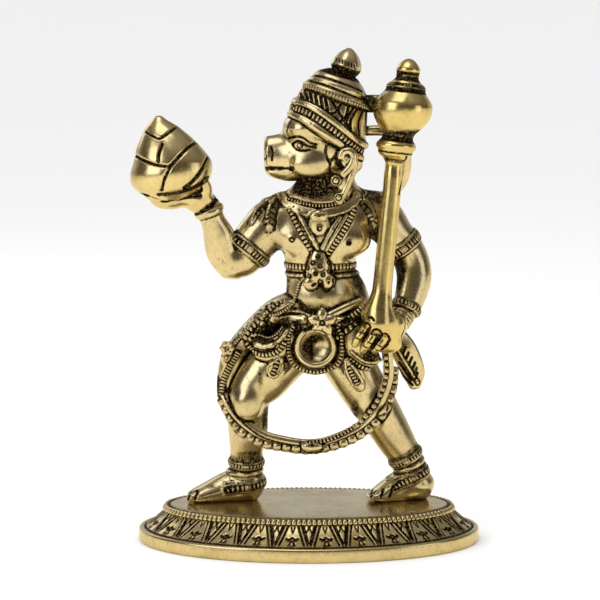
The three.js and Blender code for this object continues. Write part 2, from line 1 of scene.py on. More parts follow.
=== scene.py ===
"""A cast brass figure of a striding monkey-faced deity with a raised hill and a mace, on an oval plinth.

Each part of the figure is modelled as a block of distances to its surface, the way a founder's wax is built
up: rounded limbs are melted together, bands are laid on and lines are cut in. Rows of beads and teeth are
then set along paths on that surface with Geometry Nodes. The figure is drawn in millimetres in the
coordinates of the part's source, soles at height 0, and is brought to the plinth's frame at the end.
"""

import logging
import math
from dataclasses import dataclass, field
from enum import Enum
from typing import Callable, Iterable, Sequence

import bpy
import numpy as np
import openvdb
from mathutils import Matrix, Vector

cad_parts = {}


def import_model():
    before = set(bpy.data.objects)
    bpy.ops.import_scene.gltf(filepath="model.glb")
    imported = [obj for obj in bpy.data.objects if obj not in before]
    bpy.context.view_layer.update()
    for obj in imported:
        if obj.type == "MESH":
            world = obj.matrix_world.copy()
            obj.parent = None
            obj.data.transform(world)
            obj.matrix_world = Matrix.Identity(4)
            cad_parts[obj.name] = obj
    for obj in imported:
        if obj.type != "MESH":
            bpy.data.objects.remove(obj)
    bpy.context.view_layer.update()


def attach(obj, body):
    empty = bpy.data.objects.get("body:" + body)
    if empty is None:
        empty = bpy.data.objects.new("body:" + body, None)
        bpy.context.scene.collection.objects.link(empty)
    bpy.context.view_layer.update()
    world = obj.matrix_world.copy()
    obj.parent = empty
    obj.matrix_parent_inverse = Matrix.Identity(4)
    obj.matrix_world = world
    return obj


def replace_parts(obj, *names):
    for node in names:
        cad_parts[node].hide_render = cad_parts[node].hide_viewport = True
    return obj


LOG = logging.getLogger("hanuman")

MM = 0.001
PLINTH_HEIGHT = 11.0
FIGURE_SCALE = 137.4 / 138.3
DRAWN_BACK = 5.0
STANCE_BACK = 0.3
BODY = "root"

# From point to point of a line on a surface, and the longest gap that a row of beads or teeth still bridges.
LINE_STEP = 0.3
ROW_GAP = 1.6
# First and last angle of a line right round a limb, where -90 and 270 face the front.
ALL_ROUND = (-90.0, 270.0)

Point = Sequence[float]
Path = Sequence[Point]
Array = np.ndarray
Window = tuple[slice, slice, slice]


def to_world(points: Array) -> Array:
    """Drawn millimetres to metres in the frame of the part."""
    out = np.asarray(points, float) * FIGURE_SCALE
    out[:, 1] += STANCE_BACK - DRAWN_BACK * FIGURE_SCALE
    out[:, 2] += PLINTH_HEIGHT
    return out * MM


def ease(low: float, high: float, value: Array) -> Array:
    """A smooth rise from 0 at low to 1 at high."""
    share = np.clip((value - low) / (high - low), 0.0, 1.0)
    return share * share * (3.0 - 2.0 * share)


def unit(vectors: Array) -> Array:
    """Vectors at length 1."""
    return vectors / np.maximum(np.linalg.norm(vectors, axis=-1, keepdims=True), 1e-9)


class Spline:
    """A centripetal curve through points."""

    def __init__(self, points: Path) -> None:
        """Keeps the points, with one more past each end."""
        p = np.asarray(points, float)
        self.last = len(p) - 1
        self.points = np.vstack([2 * p[0] - p[1], p, 2 * p[-1] - p[-2]])

    def at(self, share: Array) -> Array:
        """Points at shares from 0 to 1 of the way along.

        Args:
            share: places along the curve, counted evenly over its points.

        Returns:
            One row for each share.
        """
        place = np.clip(np.asarray(share, float), 0.0, 1.0) * self.last
        low = np.minimum(place.astype(int), self.last - 1)
        w = (place - low)[:, None]
        a, b, c, d = (self.points[low + i] for i in range(4))
        gaps = [(((v - u) ** 2).sum(-1, keepdims=True)) ** 0.25 for u, v in ((a, b), (b, c), (c, d))]
        mid = np.where(gaps[1] < 1e-4, 1.0, gaps[1])
        first = np.where(gaps[0] < 1e-4, mid, gaps[0])
        final = np.where(gaps[2] < 1e-4, mid, gaps[2])
        t1 = ((b - a) / first - (c - a) / (first + mid) + (c - b) / mid) * mid
        t2 = ((c - b) / mid - (d - b) / (mid + final) + (d - c) / final) * mid
        return b + t1 * w + (3 * (c - b) - 2 * t1 - t2) * w**2 + (2 * (b - c) + t1 + t2) * w**3

    def length(self) -> float:
        """Length of the curve."""
        points = self.at(np.linspace(0, 1, 12 * self.last + 1))
        return float(np.linalg.norm(np.diff(points, axis=0), axis=1).sum())

    def evenly(self, pitch: float = LINE_STEP) -> Array:
        """Points a pitch apart along the curve."""
        fine = self.at(np.linspace(0, 1, 24 * self.last + 1))
        run = np.r_[0.0, np.cumsum(np.linalg.norm(np.diff(fine, axis=0), axis=1))]
        count = max(2, int(round(run[-1] / pitch)) + 1)
        places = np.linspace(0, run[-1], count)
        return np.stack([np.interp(places, run, fine[:, i]) for i in range(fine.shape[1])], axis=1)


@dataclass
class Skin:
    """A closed skin of points, four-sided faces and triangles."""

    points: Array
    quads: Array
    tris: Array


# Degrees of the rings that round off a blunt end, and how far it swells out, as a share of its half width.
CAP_TURNS = (78, 60, 42, 22)
CAP_SWELL = 0.62


def skin_of(rings: Array) -> Skin:
    """A skin over rings with the same number of points, closed at both ends.

    Args:
        rings: the rings in order, each a list of points.

    Returns:
        The skin.
    """
    rows, count, _ = rings.shape
    j = np.arange(count)
    k = (j + 1) % count
    low = (np.arange(rows - 1) * count)[:, None]
    quads = np.stack([low + j, low + k, low + count + k, low + count + j], axis=-1).reshape(-1, 4)
    points = np.vstack([rings.reshape(-1, 3), rings[0].mean(0), rings[-1].mean(0)])
    foot, tip = rows * count, rows * count + 1
    last = (rows - 1) * count
    tris = np.vstack([np.c_[k, j, np.full(count, foot)], np.c_[last + j, last + k, np.full(count, tip)]])
    return Skin(points, quads, tris)


BACK = np.array([0.0, 1.0, 0.0])
UP = np.array([0.0, 0.0, 1.0])
RIGHT = np.array([1.0, 0.0, 0.0])


def section_frame(along: Array) -> tuple[Array, Array]:
    """Directions across a form and towards its back, square to the way that it runs."""
    deep = unit(BACK - along * (along @ BACK)[..., None])
    return unit(np.cross(deep, along)), deep


def loft(stations: Path, along: Array | None = None, blunt: bool = True, sides: int = 40) -> Skin:
    """A smooth form through stations.

    Args:
        stations: rows of x, y, z, half width and half depth.
        along: one direction that every section is square to, or None to follow the path.
        blunt: whether the ends are rounded over.
        sides: points of each section.

    Returns:
        The form's skin.
    """
    table = np.asarray(stations, float)
    path = Spline(table[:, :3])
    share = np.linspace(0, 1, max(10, int(path.length() / 0.5)))
    centre = path.at(share)
    half = np.maximum(Spline(np.c_[table[:, 3:5], np.zeros(len(table))]).at(share)[:, :2], 0.05)
    facing = unit(np.gradient(centre, axis=0)) if along is None else np.tile(unit(along), (len(centre), 1))
    if blunt:
        turns = np.radians(CAP_TURNS)
        swell = CAP_SWELL * half.min(axis=1)
        ends = [
            (
                centre[i] + way * np.sin(turns)[:, None] * swell[i] * facing[i],
                half[i] * np.cos(turns)[:, None],
                np.tile(facing[i], (len(turns), 1)),
            )
            for i, way in ((0, -1), (-1, 1))
        ]
        centre = np.vstack([ends[0][0], centre, ends[1][0][::-1]])
        half = np.vstack([ends[0][1], half, ends[1][1][::-1]])
        facing = np.vstack([ends[0][2], facing, ends[1][2][::-1]])
    across, deep = section_frame(facing)
    turn = np.arange(sides) / sides * 2 * math.pi
    rings = (
        centre[:, None]
        + across[:, None] * (half[:, :1] * np.cos(turn))[..., None]
        + deep[:, None] * (half[:, 1:] * np.sin(turn))[..., None]
    )
    return skin_of(rings)


def turned(profile: Path, foot: Point, tip: Point, sides: int = 48, lobes: Callable | None = None) -> Skin:
    """A form turned from heights and radii.

    Args:
        profile: rows of height and radius.
        foot: where the axis starts.
        tip: a point that the axis runs towards.
        sides: points of each section.
        lobes: a factor on the radius from the height and the turn, or None.

    Returns:
        The form's skin.
    """
    fine = Spline(np.c_[np.asarray(profile, float), np.zeros(len(profile))]).evenly()
    start = np.asarray(foot, float)
    axis = unit(np.asarray(tip, float) - start)
    across, deep = section_frame(axis[None])
    turn = np.arange(sides) / sides * 2 * math.pi
    radius = np.maximum(fine[:, 1:2], 0.02) * np.ones(sides)
    if lobes is not None:
        radius = radius * lobes(fine[:, :1], turn[None])
    rings = (
        (start + fine[:, :1] * axis)[:, None]
        + across[0] * (radius * np.cos(turn))[..., None]
        + deep[0] * (radius * np.sin(turn))[..., None]
    )
    return skin_of(rings)


def ball(centre: Point, radii: Point, lean: float = 0.0) -> Skin:
    """A ball with three radii.

    Args:
        centre: its middle.
        radii: across, deep and high.
        lean: radians that it leans in the plane that the front shows.

    Returns:
        The ball's skin.
    """
    down = np.radians(np.linspace(-86, 86, 24))
    turn = np.arange(32) / 32 * 2 * math.pi
    rings = np.stack(
        [
            np.cos(down)[:, None] * np.cos(turn),
            np.cos(down)[:, None] * np.sin(turn),
            np.sin(down)[:, None] * np.ones(32),
        ],
        axis=-1,
    ) * np.asarray(radii, float)
    c, s = math.cos(lean), math.sin(lean)
    x, z = rings[..., 0] * c + rings[..., 2] * s, rings[..., 2] * c - rings[..., 0] * s
    return skin_of(np.stack([x, rings[..., 1], z], axis=-1) + np.asarray(centre, float))


def melted(one: Array, other: Array, blend: float) -> Array:
    """The union of two blocks of distances, with a fillet of about the blend's size."""
    soft = np.maximum(blend - np.abs(one - other), 0.0) / blend
    return np.minimum(one, other) - soft * soft * blend * 0.25


class Casting:
    """A solid kept as distances to its surface on a grid, negative inside, in drawn millimetres."""

    REACH = 9

    def __init__(self, low: Point, high: Point, voxel: float) -> None:
        """Makes an empty block between two corners."""
        self.voxel = voxel
        self.low = np.asarray(low, float)
        self.size = np.ceil((np.asarray(high, float) - self.low) / voxel).astype(int) + 1
        self.far = self.REACH * voxel
        self.field = np.full(self.size, self.far, np.float32)

    def window(self, low: Array, high: Array) -> Window:
        """The part of the block between two corners."""
        first = np.clip(np.floor((np.asarray(low) - self.low) / self.voxel).astype(int), 0, self.size)
        last = np.clip(np.ceil((np.asarray(high) - self.low) / self.voxel).astype(int) + 1, 0, self.size)
        return tuple(slice(a, b) for a, b in zip(first, last))

    def places(self, part: Window) -> list[Array]:
        """Coordinates of a part of the block, shaped to spread over it."""
        axes = []
        for i, cut in enumerate(part):
            shape = [1, 1, 1]
            shape[i] = -1
            axes.append((self.low[i] + np.arange(cut.start, cut.stop) * self.voxel).reshape(shape))
        return axes

    def shell(self, skin: Skin) -> tuple[Window, Array]:
        """Measures the distances to a skin.

        Args:
            skin: the skin to measure from.

        Returns:
            The part of the block that is near it, and its distances there.
        """
        grid = openvdb.FloatGrid.createLevelSetFromPolygons(
            (skin.points - self.low).astype(np.float32),
            triangles=skin.tris.astype(np.uint32),
            quads=skin.quads.astype(np.uint32),
            transform=openvdb.createLinearTransform(voxelSize=self.voxel),
            halfWidth=float(self.REACH),
        )
        first, last = (np.array(c) for c in grid.evalActiveVoxelBoundingBox())
        first, last = np.maximum(first, 0), np.minimum(last, self.size - 1)
        block = np.zeros(last - first + 1, np.float32)
        grid.copyToArray(block, ijk=tuple(int(v) for v in first))
        return tuple(slice(int(a), int(b) + 1) for a, b in zip(first, last)), block

    def add(self, *skins: Skin, blend: float = 0.5) -> None:
        """Melts skins into the solid, with a fillet of about the blend's size."""
        for skin in skins:
            part, away = self.shell(skin)
            self.field[part] = melted(self.field[part], away, blend)

    def cut(self, skin: Skin, blend: float = 0.25) -> None:
        """Cuts a skin out of the solid."""
        part, away = self.shell(skin)
        self.field[part] = -melted(-self.field[part], away, blend)

    def smooth(self, width: float) -> None:
        """Softens the surface over a width, as casting does."""
        self.field = blurred(self.field, width / self.voxel)

    def read(self, values: Array, points: Array) -> Array:
        """Reads between the places of the grid.

        Args:
            values: numbers at the places of the grid.
            points: where to read them.

        Returns:
            A number for each point.
        """
        place = np.clip((np.asarray(points, float) - self.low) / self.voxel, 0, self.size - 1.001)
        low = place.astype(int)
        w = place - low
        out = np.zeros(len(place))
        for corner in np.ndindex(2, 2, 2):
            weight = np.prod([w[:, i] if c else 1 - w[:, i] for i, c in enumerate(corner)], axis=0)
            out += weight * values[low[:, 0] + corner[0], low[:, 1] + corner[1], low[:, 2] + corner[2]]
        return out

    def sample(self, points: Array) -> Array:
        """Distances at points, which is the longest distance outside the block."""
        inside = ((points >= self.low) & (points <= self.low + (self.size - 1) * self.voxel)).all(1)
        return np.where(inside, self.read(self.field, points), self.far)

    def outward(self, points: Array) -> Array:
        """The surface's directions at points on it."""
        step = 1.5 * self.voxel
        slopes = [
            self.sample(points + step * axis) - self.sample(points - step * axis) for axis in np.eye(3)
        ]
        return unit(np.stack(slopes, axis=1))

    def hit(self, starts: Array, ways: Array, reach: float) -> Array:
        """Follows rays to the surface.

        Args:
            starts: points outside.
            ways: the ray's direction from each.
            reach: length of the rays.

        Returns:
            Points on the surface, without the rays that miss it.
        """
        steps = np.arange(0, reach, 0.5 * self.voxel)
        points = starts[:, None] + ways[:, None] * steps[:, None]
        inside = self.sample(points.reshape(-1, 3)).reshape(len(starts), -1) < 0
        struck = inside.any(1) & ~inside[:, 0]
        if not struck.any():
            raise ValueError(f"no ray from {starts[0].round(1)} meets the casting")
        return (starts + ways * steps[inside.argmax(1)][:, None])[struck]

    def front(self, path: Path, back: bool = False) -> Array:
        """A path of x and z laid on the front surface, or on the back.

        Args:
            path: points of x and z that the line runs through.
            back: whether it lies on the back.

        Returns:
            Points on the surface.
        """
        flat = Spline([(x, 0.0, z) for x, z in path]).evenly()
        depth = (self.size[1] - 1) * self.voxel
        flat[:, 1] = self.low[1] + depth if back else self.low[1]
        ways = np.tile(-BACK if back else BACK, (len(flat), 1))
        return self.hit(flat, ways, self.size[1] * self.voxel)

    def ring(self, centre: Point, axis: Point, reach: float, sweep: Point = ALL_ROUND) -> Array:
        """A line round a limb.

        Args:
            centre: a point inside the limb.
            axis: the way the limb runs there.
            reach: a distance that is outside the limb on every side.
            sweep: first and last angle, where 270 faces the front.

        Returns:
            Points on the surface.
        """
        across, deep = section_frame(unit(np.asarray(axis, float))[None])
        turn = np.radians(np.linspace(*sweep, 120))
        ways = across * np.cos(turn)[:, None] + deep * np.sin(turn)[:, None]
        starts = np.asarray(centre, float) + ways * reach
        return self.hit(starts, -ways, reach)

    def near(self, line: Array, reach: float) -> tuple[Window, Array]:
        """Measures the distances to a line.

        Args:
            line: the points.
            reach: the longest distance that counts.

        Returns:
            The part of the block round the line, and its distances there.
        """
        part = self.window(line.min(0) - reach, line.max(0) + reach)
        x, y, z = self.places(part)
        first = np.array([cut.start for cut in part])
        out = np.full([cut.stop - cut.start for cut in part], reach, np.float32)
        for point in line:
            box = self.window(point - reach, point + reach)
            local = tuple(slice(max(c.start - f, 0), c.stop - f) for c, f in zip(box, first))
            away = np.sqrt(
                (x[local[0]] - point[0]) ** 2
                + (y[:, local[1]] - point[1]) ** 2
                + (z[:, :, local[2]] - point[2]) ** 2
            )
            out[local] = np.minimum(out[local], away)
        return part, out

    def band(self, line: Array, width: float, height: float, edge: float = 0.3) -> None:
        """Raises a flat band along a line on the surface, or sinks a groove.

        Args:
            line: points on the surface.
            width: the band's width.
            height: how far it stands out, or sinks in where it is negative.
            edge: how soft its sides are.
        """
        half = width / 2
        part, away = self.near(line, half + edge)
        self.field[part] -= height * (1 - ease(half - edge, half + edge, away))

    def bead(self, line: Array, radius: float, blend: float = 0.15) -> None:
        """Lays a round cord along a line on the surface."""
        part, away = self.near(line, radius + blend + self.voxel)
        self.field[part] = melted(self.field[part], away - radius, blend)

    def spot(self, x: float, z: float, back: bool = False) -> Array:
        """One point on the front surface, or on the back."""
        return self.front([(x, z), (x + 0.01, z)], back=back)[:1]


def blurred(block: Array, width: float) -> Array:
    """A block softened over a width.

    Args:
        block: numbers at the places of a grid.
        width: steps of the grid.

    Returns:
        The softened block.
    """
    radius = max(1, int(math.ceil(2.5 * width)))
    taps = np.exp(-0.5 * (np.arange(-radius, radius + 1) / max(width, 1e-3)) ** 2)
    taps /= taps.sum()
    out = block
    for axis in range(3):
        padded = np.pad(out, [(radius, radius) if i == axis else (0, 0) for i in range(3)], mode="edge")
        out = np.zeros_like(block)
        for i, tap in enumerate(taps):
            cut = [slice(None)] * 3
            cut[axis] = slice(i, i + block.shape[axis])
            out += np.float32(tap) * padded[tuple(cut)]
    return out


class Value:
    """A number in a shader, which arithmetic turns into Math nodes."""

    def __init__(self, graph: "Graph", socket: bpy.types.NodeSocket) -> None:
        """Wraps an output socket."""
        self.graph = graph
        self.socket = socket

    def maths(self, kind: str, *others: "Value | float") -> "Value":
        """The outcome of a Math node on this number and others."""
        return self.graph.maths(kind, self, *others)

    def __add__(self, other: "Value | float") -> "Value":
        """Sum."""
        return self.maths("ADD", other)

    __radd__ = __add__

    def __sub__(self, other: "Value | float") -> "Value":
        """Difference."""
        return self.maths("SUBTRACT", other)

    def __rsub__(self, other: float) -> "Value":
        """Difference from a plain number."""
        return self.graph.maths("SUBTRACT", other, self)

    def __mul__(self, other: "Value | float") -> "Value":
        """Product."""
        return self.maths("MULTIPLY", other)

    __rmul__ = __mul__

    def clamped(self) -> "Value":
        """Kept between 0 and 1."""
        return self.graph.node("Clamp", {}, {"Value": self}).value("Result")

    def between(self, low: float, high: float) -> "Value":
        """A smooth rise from 0 at low to 1 at high."""
        inputs = {"Value": self, "From Min": low, "From Max": high}
        made = self.graph.node("MapRange", {"interpolation_type": "SMOOTHSTEP"}, inputs)
        return made.value("Result")


class Placed:
    """A node that is in a graph."""

    def __init__(self, graph: "Graph", node: bpy.types.Node) -> None:
        """Wraps the node."""
        self.graph = graph
        self.node = node

    def out(self, name: str) -> bpy.types.NodeSocket:
        """An output socket that is in use."""
        return next(s for s in self.node.outputs if s.name == name and s.enabled)

    def value(self, name: str) -> Value:
        """An output as a number."""
        return Value(self.graph, self.out(name))


class Graph:
    """The node tree of one material or world."""

    def __init__(self, owner: bpy.types.Material | bpy.types.World) -> None:
        """Empties the tree of a material or a world."""
        owner.use_nodes = True
        self.tree = owner.node_tree
        self.tree.nodes.clear()

    def node(self, kind: str, settings: dict, inputs: dict) -> Placed:
        """Adds any node.

        Args:
            kind: the node's type, without the ShaderNode that all of them start with.
            settings: the node's own settings, which are set first.
            inputs: values or links for its sockets, by name or by place.

        Returns:
            The placed node.
        """
        made = self.tree.nodes.new(f"ShaderNode{kind}")
        for name, value in settings.items():
            setattr(made, name, value)
        for name, value in inputs.items():
            socket = (
                made.inputs[name]
                if isinstance(name, int)
                else next(s for s in made.inputs if s.name == name and s.enabled)
            )
            if isinstance(value, Value):
                self.tree.links.new(value.socket, socket)
            elif isinstance(value, bpy.types.NodeSocket):
                self.tree.links.new(value, socket)
            else:
                socket.default_value = value
        return Placed(self, made)

    def maths(self, kind: str, *terms: Value | float) -> Value:
        """A Math node on two terms."""
        return self.node("Math", {"operation": kind}, dict(enumerate(terms))).value("Value")

    def noise(self, where: bpy.types.NodeSocket, scale: float, detail: float = 3.0) -> Value:
        """Cloudy noise from 0 to 1."""
        inputs = {"Vector": where, "Scale": scale, "Detail": detail, "Roughness": 0.6}
        return self.node("TexNoise", {}, inputs).value("Fac")

    def mixed(self, share: Value | float, low: object, high: object) -> bpy.types.NodeSocket:
        """A colour between two colours."""
        inputs = {"Factor": share, 6: low, 7: high}
        return self.node("Mix", {"data_type": "RGBA"}, inputs).node.outputs[2]

    def attribute(self, name: str) -> Value:
        """A number kept at the points of the mesh."""
        return self.node("Attribute", {"attribute_name": name}, {}).value("Fac")


@dataclass(frozen=True)
class AntiquedBrass:
    """Polished yellow brass with black patina left in its hollows.

    The mesh carries two numbers: the patina, with shade painted into it in places, which is 1 where it lies
    thick, and gold, 1 where the brass is buffed.
    """

    name: str = "antiqued_brass"
    bright: tuple = (0.74, 0.63, 0.38, 1.0)
    buffed: tuple = (0.74, 0.59, 0.25, 1.0)
    dull: tuple = (0.28, 0.21, 0.09, 1.0)
    patina: tuple = (0.012, 0.006, 0.003, 1.0)
    polish: float = 0.17
    matt: float = 0.55
    grain: float = 2600.0

    def material(self) -> bpy.types.Material:
        """Builds the material.

        Returns:
            The material.
        """
        made = bpy.data.materials.new(self.name)
        g = Graph(made)
        where = g.node("TexCoord", {}, {}).out("Object")
        clouds = g.noise(where, 90.0, 4.0)
        specks = g.noise(where, self.grain, 2.0)
        blotch = g.noise(where, 700.0, 3.0)
        soot = g.attribute("soot")
        gold = g.attribute("gold")
        broken = ((blotch - 0.5) * 1.1 + (specks - 0.5) * 1.3) * soot.between(0.04, 0.4)
        glint = g.noise(where, 1900.0, 1.0).between(0.56, 0.66) * 0.5
        black = (soot * 1.15 + broken).between(0.35, 0.75) * (1 - glint)
        pits = (specks + (blotch - 0.5) * 0.3).between(0.62, 0.72) * 0.75 * (1 - gold * 0.7)
        age = (clouds - 0.42) * 0.9 + (blotch - 0.5) * 0.5 + (1 - gold) * 0.08
        tarnish = (soot.between(0.02, 0.5) * 0.75 + age).clamped()
        tone = g.mixed(gold, self.bright, self.buffed)
        tone = g.mixed(tarnish, tone, self.dull)
        dark = g.maths("MAXIMUM", black, pits)
        colour = g.mixed(dark, tone, self.patina)
        rough = self.polish + clouds * 0.08 + tarnish * 0.12 + dark * (self.matt - self.polish)
        fine = (specks - 0.5) * (0.25 + dark * 1.6) + (blotch - 0.5) * (0.4 + black * 1.4)
        bump = g.node("Bump", {}, {"Strength": 0.35, "Distance": 0.00012, "Height": fine})
        inputs = {
            "Base Color": colour,
            "Roughness": rough.clamped(),
            "Metallic": 1.0,
            "Normal": bump.out("Normal"),
        }
        shader = g.node("BsdfPrincipled", {}, inputs)
        g.node("OutputMaterial", {}, {"Surface": shader.out("BSDF")})
        return made


@dataclass(frozen=True)
class PalePaper:
    """The plain pale floor, which reflections see darker and warmer."""

    name: str = "pale_paper"
    colour: tuple = (0.93, 0.93, 0.93, 1.0)
    mirrored: tuple = (0.92, 0.84, 0.64, 1.0)

    def material(self) -> bpy.types.Material:
        """Builds the material.

        Returns:
            The material.
        """
        made = bpy.data.materials.new(self.name)
        g = Graph(made)
        glossy = g.node("LightPath", {}, {}).value("Is Glossy Ray")
        colour = g.mixed(glossy, self.colour, self.mirrored)
        shader = g.node("BsdfPrincipled", {}, {"Base Color": colour, "Roughness": 0.9})
        g.node("OutputMaterial", {}, {"Surface": shader.out("BSDF")})
        return made


def mesh_object(name: str, points: Array, faces: Sequence[Sequence[int]]) -> bpy.types.Object:
    """A smooth-shaded mesh object in the scene."""
    mesh = bpy.data.meshes.new(name)
    mesh.from_pydata(np.asarray(points, float).tolist(), [], [tuple(int(i) for i in f) for f in faces])
    mesh.shade_smooth()
    made = bpy.data.objects.new(name, mesh)
    bpy.context.scene.collection.objects.link(made)
    return made


def store(target: bpy.types.Object, name: str, values: Array) -> None:
    """Keeps a number for each point of a mesh."""
    kept = target.data.attributes.new(name, "FLOAT", "POINT")
    kept.data.foreach_set("value", np.asarray(values, np.float32))


def settled(target: bpy.types.Object) -> tuple[Array, list]:
    """Applies the modifiers of an object.

    Args:
        target: an object, which is removed.

    Returns:
        Its points and its faces.
    """
    graph = bpy.context.evaluated_depsgraph_get()
    made = bpy.data.meshes.new_from_object(target.evaluated_get(graph))
    points = np.zeros(len(made.vertices) * 3)
    made.vertices.foreach_get("co", points)
    faces = [tuple(face.vertices) for face in made.polygons]
    target.modifiers.clear()
    bpy.data.objects.remove(target)
    bpy.data.meshes.remove(made)
    return points.reshape(-1, 3), faces


def with_more(points: Array, faces: list, more: Array, sides: list) -> tuple[Array, list]:
    """One mesh's points and faces with another's behind them."""
    start = len(points)
    return np.vstack([points, more]), faces + [tuple(i + start for i in side) for side in sides]


def as_piece(
    name: str, points: Array, faces: list, finish: bpy.types.Material, **marks: Array
) -> bpy.types.Object:
    """Makes a finished piece of the statue.

    Args:
        name: the piece's name.
        points: metres in the shared frame.
        faces: its faces.
        finish: its material.
        marks: numbers that the material reads at each point, by name.

    Returns:
        The piece, on its body.
    """
    made = mesh_object(name, points, faces)
    made.data.materials.append(finish)
    for mark, values in marks.items():
        store(made, mark, values)
    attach(made, BODY)
    LOG.info("%s: %d faces", name, len(faces))
    return made


class Unit(Enum):
    """The small forms that rows are made of."""

    BEAD = "bead"
    TOOTH = "tooth"


class RowTree:
    """A Geometry Nodes tree that repeats one small form along paths."""

    SIZES = ("Pitch", "Length", "Width", "Height", "Unevenness")

    def __init__(self, unit_form: Unit) -> None:
        """Builds the tree.

        Args:
            unit_form: the form that it repeats.
        """
        self.tree = bpy.data.node_groups.new(f"row_of_{unit_form.value}s", "GeometryNodeTree")
        self.inputs: dict[str, str] = {}
        self.entry("Geometry", "NodeSocketGeometry")
        for name in self.SIZES:
            self.entry(name, "NodeSocketFloat")
        self.entry("Seed", "NodeSocketInt")
        self.entry("Finish", "NodeSocketMaterial")
        self.tree.interface.new_socket("Geometry", in_out="OUTPUT", socket_type="NodeSocketGeometry")
        self.build(unit_form)

    def entry(self, name: str, kind: str) -> None:
        """Adds a named input."""
        socket = self.tree.interface.new_socket(name, in_out="INPUT", socket_type=kind)
        self.inputs[name] = socket.identifier

    def node(self, kind: str, settings: dict | None = None, **links: object) -> bpy.types.Node:
        """Adds a node.

        Args:
            kind: the node's type.
            settings: the node's own settings.
            links: links or values for its inputs by name, where _ stands for a space.

        Returns:
            The node.
        """
        made = self.tree.nodes.new(kind)
        for name, value in (settings or {}).items():
            setattr(made, name, value)
        for name, value in links.items():
            socket = next(s for s in made.inputs if s.name == name.replace("_", " ") and s.enabled)
            if isinstance(value, bpy.types.NodeSocket):
                self.tree.links.new(value, socket)
            else:
                socket.default_value = value
        return made

    def build(self, unit_form: Unit) -> None:
        """Lays out the tree's nodes.

        Args:
            unit_form: the form that it repeats.
        """
        entry = self.tree.nodes.new("NodeGroupInput").outputs
        curve = self.node("GeometryNodeMeshToCurve", Mesh=entry["Geometry"]).outputs["Curve"]
        even = self.node(
            "GeometryNodeResampleCurve", {"mode": "LENGTH"}, Curve=curve, Length=entry["Pitch"]
        ).outputs["Curve"]
        tangent = self.node("GeometryNodeInputTangent").outputs["Tangent"]
        away = self.node("GeometryNodeInputNamedAttribute", {"data_type": "FLOAT_VECTOR"}, Name="outward")
        along = self.node("FunctionNodeAlignRotationToVector", {"axis": "X"}, Vector=tangent)
        facing = self.node(
            "FunctionNodeAlignRotationToVector",
            {"axis": "Z", "pivot_axis": "X"},
            Rotation=along.outputs["Rotation"],
            Vector=away.outputs["Attribute"],
        )
        if unit_form is Unit.BEAD:
            form = self.node("GeometryNodeMeshUVSphere", Segments=8, Rings=6, Radius=0.5).outputs["Mesh"]
        else:
            cube = self.node("GeometryNodeMeshCube").outputs["Mesh"]
            form = self.node("GeometryNodeSubdivisionSurface", Mesh=cube, Level=1, Edge_Crease=0.85)
            form = form.outputs["Mesh"]
        size = self.node(
            "ShaderNodeCombineXYZ", X=entry["Length"], Y=entry["Width"], Z=entry["Height"]
        ).outputs["Vector"]
        low = self.node("ShaderNodeMath", {"operation": "SUBTRACT"})
        low.inputs[0].default_value = 1.0
        self.tree.links.new(entry["Unevenness"], low.inputs[1])
        chance = self.node(
            "FunctionNodeRandomValue", {"data_type": "FLOAT"}, Min=low.outputs[0], Max=1.0, Seed=entry["Seed"]
        )
        amount = next(s for s in chance.outputs if s.enabled)
        scaled = self.node("ShaderNodeVectorMath", {"operation": "SCALE"}, Vector=size, Scale=amount)
        placed = self.node(
            "GeometryNodeInstanceOnPoints",
            Points=even,
            Instance=form,
            Rotation=facing.outputs["Rotation"],
            Scale=scaled.outputs["Vector"],
        )
        real = self.node("GeometryNodeRealizeInstances", Geometry=placed.outputs["Instances"])
        smooth = self.node("GeometryNodeSetShadeSmooth", Geometry=real.outputs["Geometry"])
        dressed = self.node(
            "GeometryNodeSetMaterial", Geometry=smooth.outputs["Geometry"], Material=entry["Finish"]
        )
        leave = self.tree.nodes.new("NodeGroupOutput")
        self.tree.links.new(dressed.outputs["Geometry"], leave.inputs["Geometry"])


@dataclass
class Row:
    """A row of one small form along a line on a surface, in drawn millimetres."""

    line: Array
    outward: Array
    form: Unit
    pitch: float
    length: float
    width: float
    height: float
    lift: float = 0.0
    uneven: float = 0.12


class RowMaker:
    """Sets rows of small forms along their lines."""

    def __init__(self, finish: bpy.types.Material) -> None:
        """Makes the trees."""
        self.finish = finish
        self.trees = {form: RowTree(form) for form in Unit}
        self.seed = 3

    def mesh(self, row: Row) -> tuple[Array, list]:
        """One row's points and faces.

        Args:
            row: the row to make.

        Returns:
            Points in drawn millimetres, and faces.
        """
        line = row.line + row.outward * row.lift
        gaps = np.linalg.norm(np.diff(line, axis=0), axis=1)
        carrier = bpy.data.meshes.new("row_path")
        carrier.from_pydata(line.tolist(), [(i, i + 1) for i, gap in enumerate(gaps) if gap < ROW_GAP], [])
        away = carrier.attributes.new("outward", "FLOAT_VECTOR", "POINT")
        away.data.foreach_set("vector", row.outward.astype(np.float32).ravel())
        holder = bpy.data.objects.new("row_path", carrier)
        bpy.context.scene.collection.objects.link(holder)
        tree = self.trees[row.form]
        modifier = holder.modifiers.new("row", "NODES")
        modifier.node_group = tree.tree
        self.seed += 1
        sizes = (row.pitch, row.length, row.width, row.height, row.uneven)
        values = {**dict(zip(RowTree.SIZES, sizes)), "Seed": self.seed, "Finish": self.finish}
        for name, value in values.items():
            modifier[tree.inputs[name]] = value
        return settled(holder)

    def joined(self, rows: Iterable[Row]) -> tuple[Array, list]:
        """All rows as one list of points and one list of faces."""
        points, faces = np.zeros((0, 3)), []
        for row in rows:
            points, faces = with_more(points, faces, *self.mesh(row))
        return points, faces


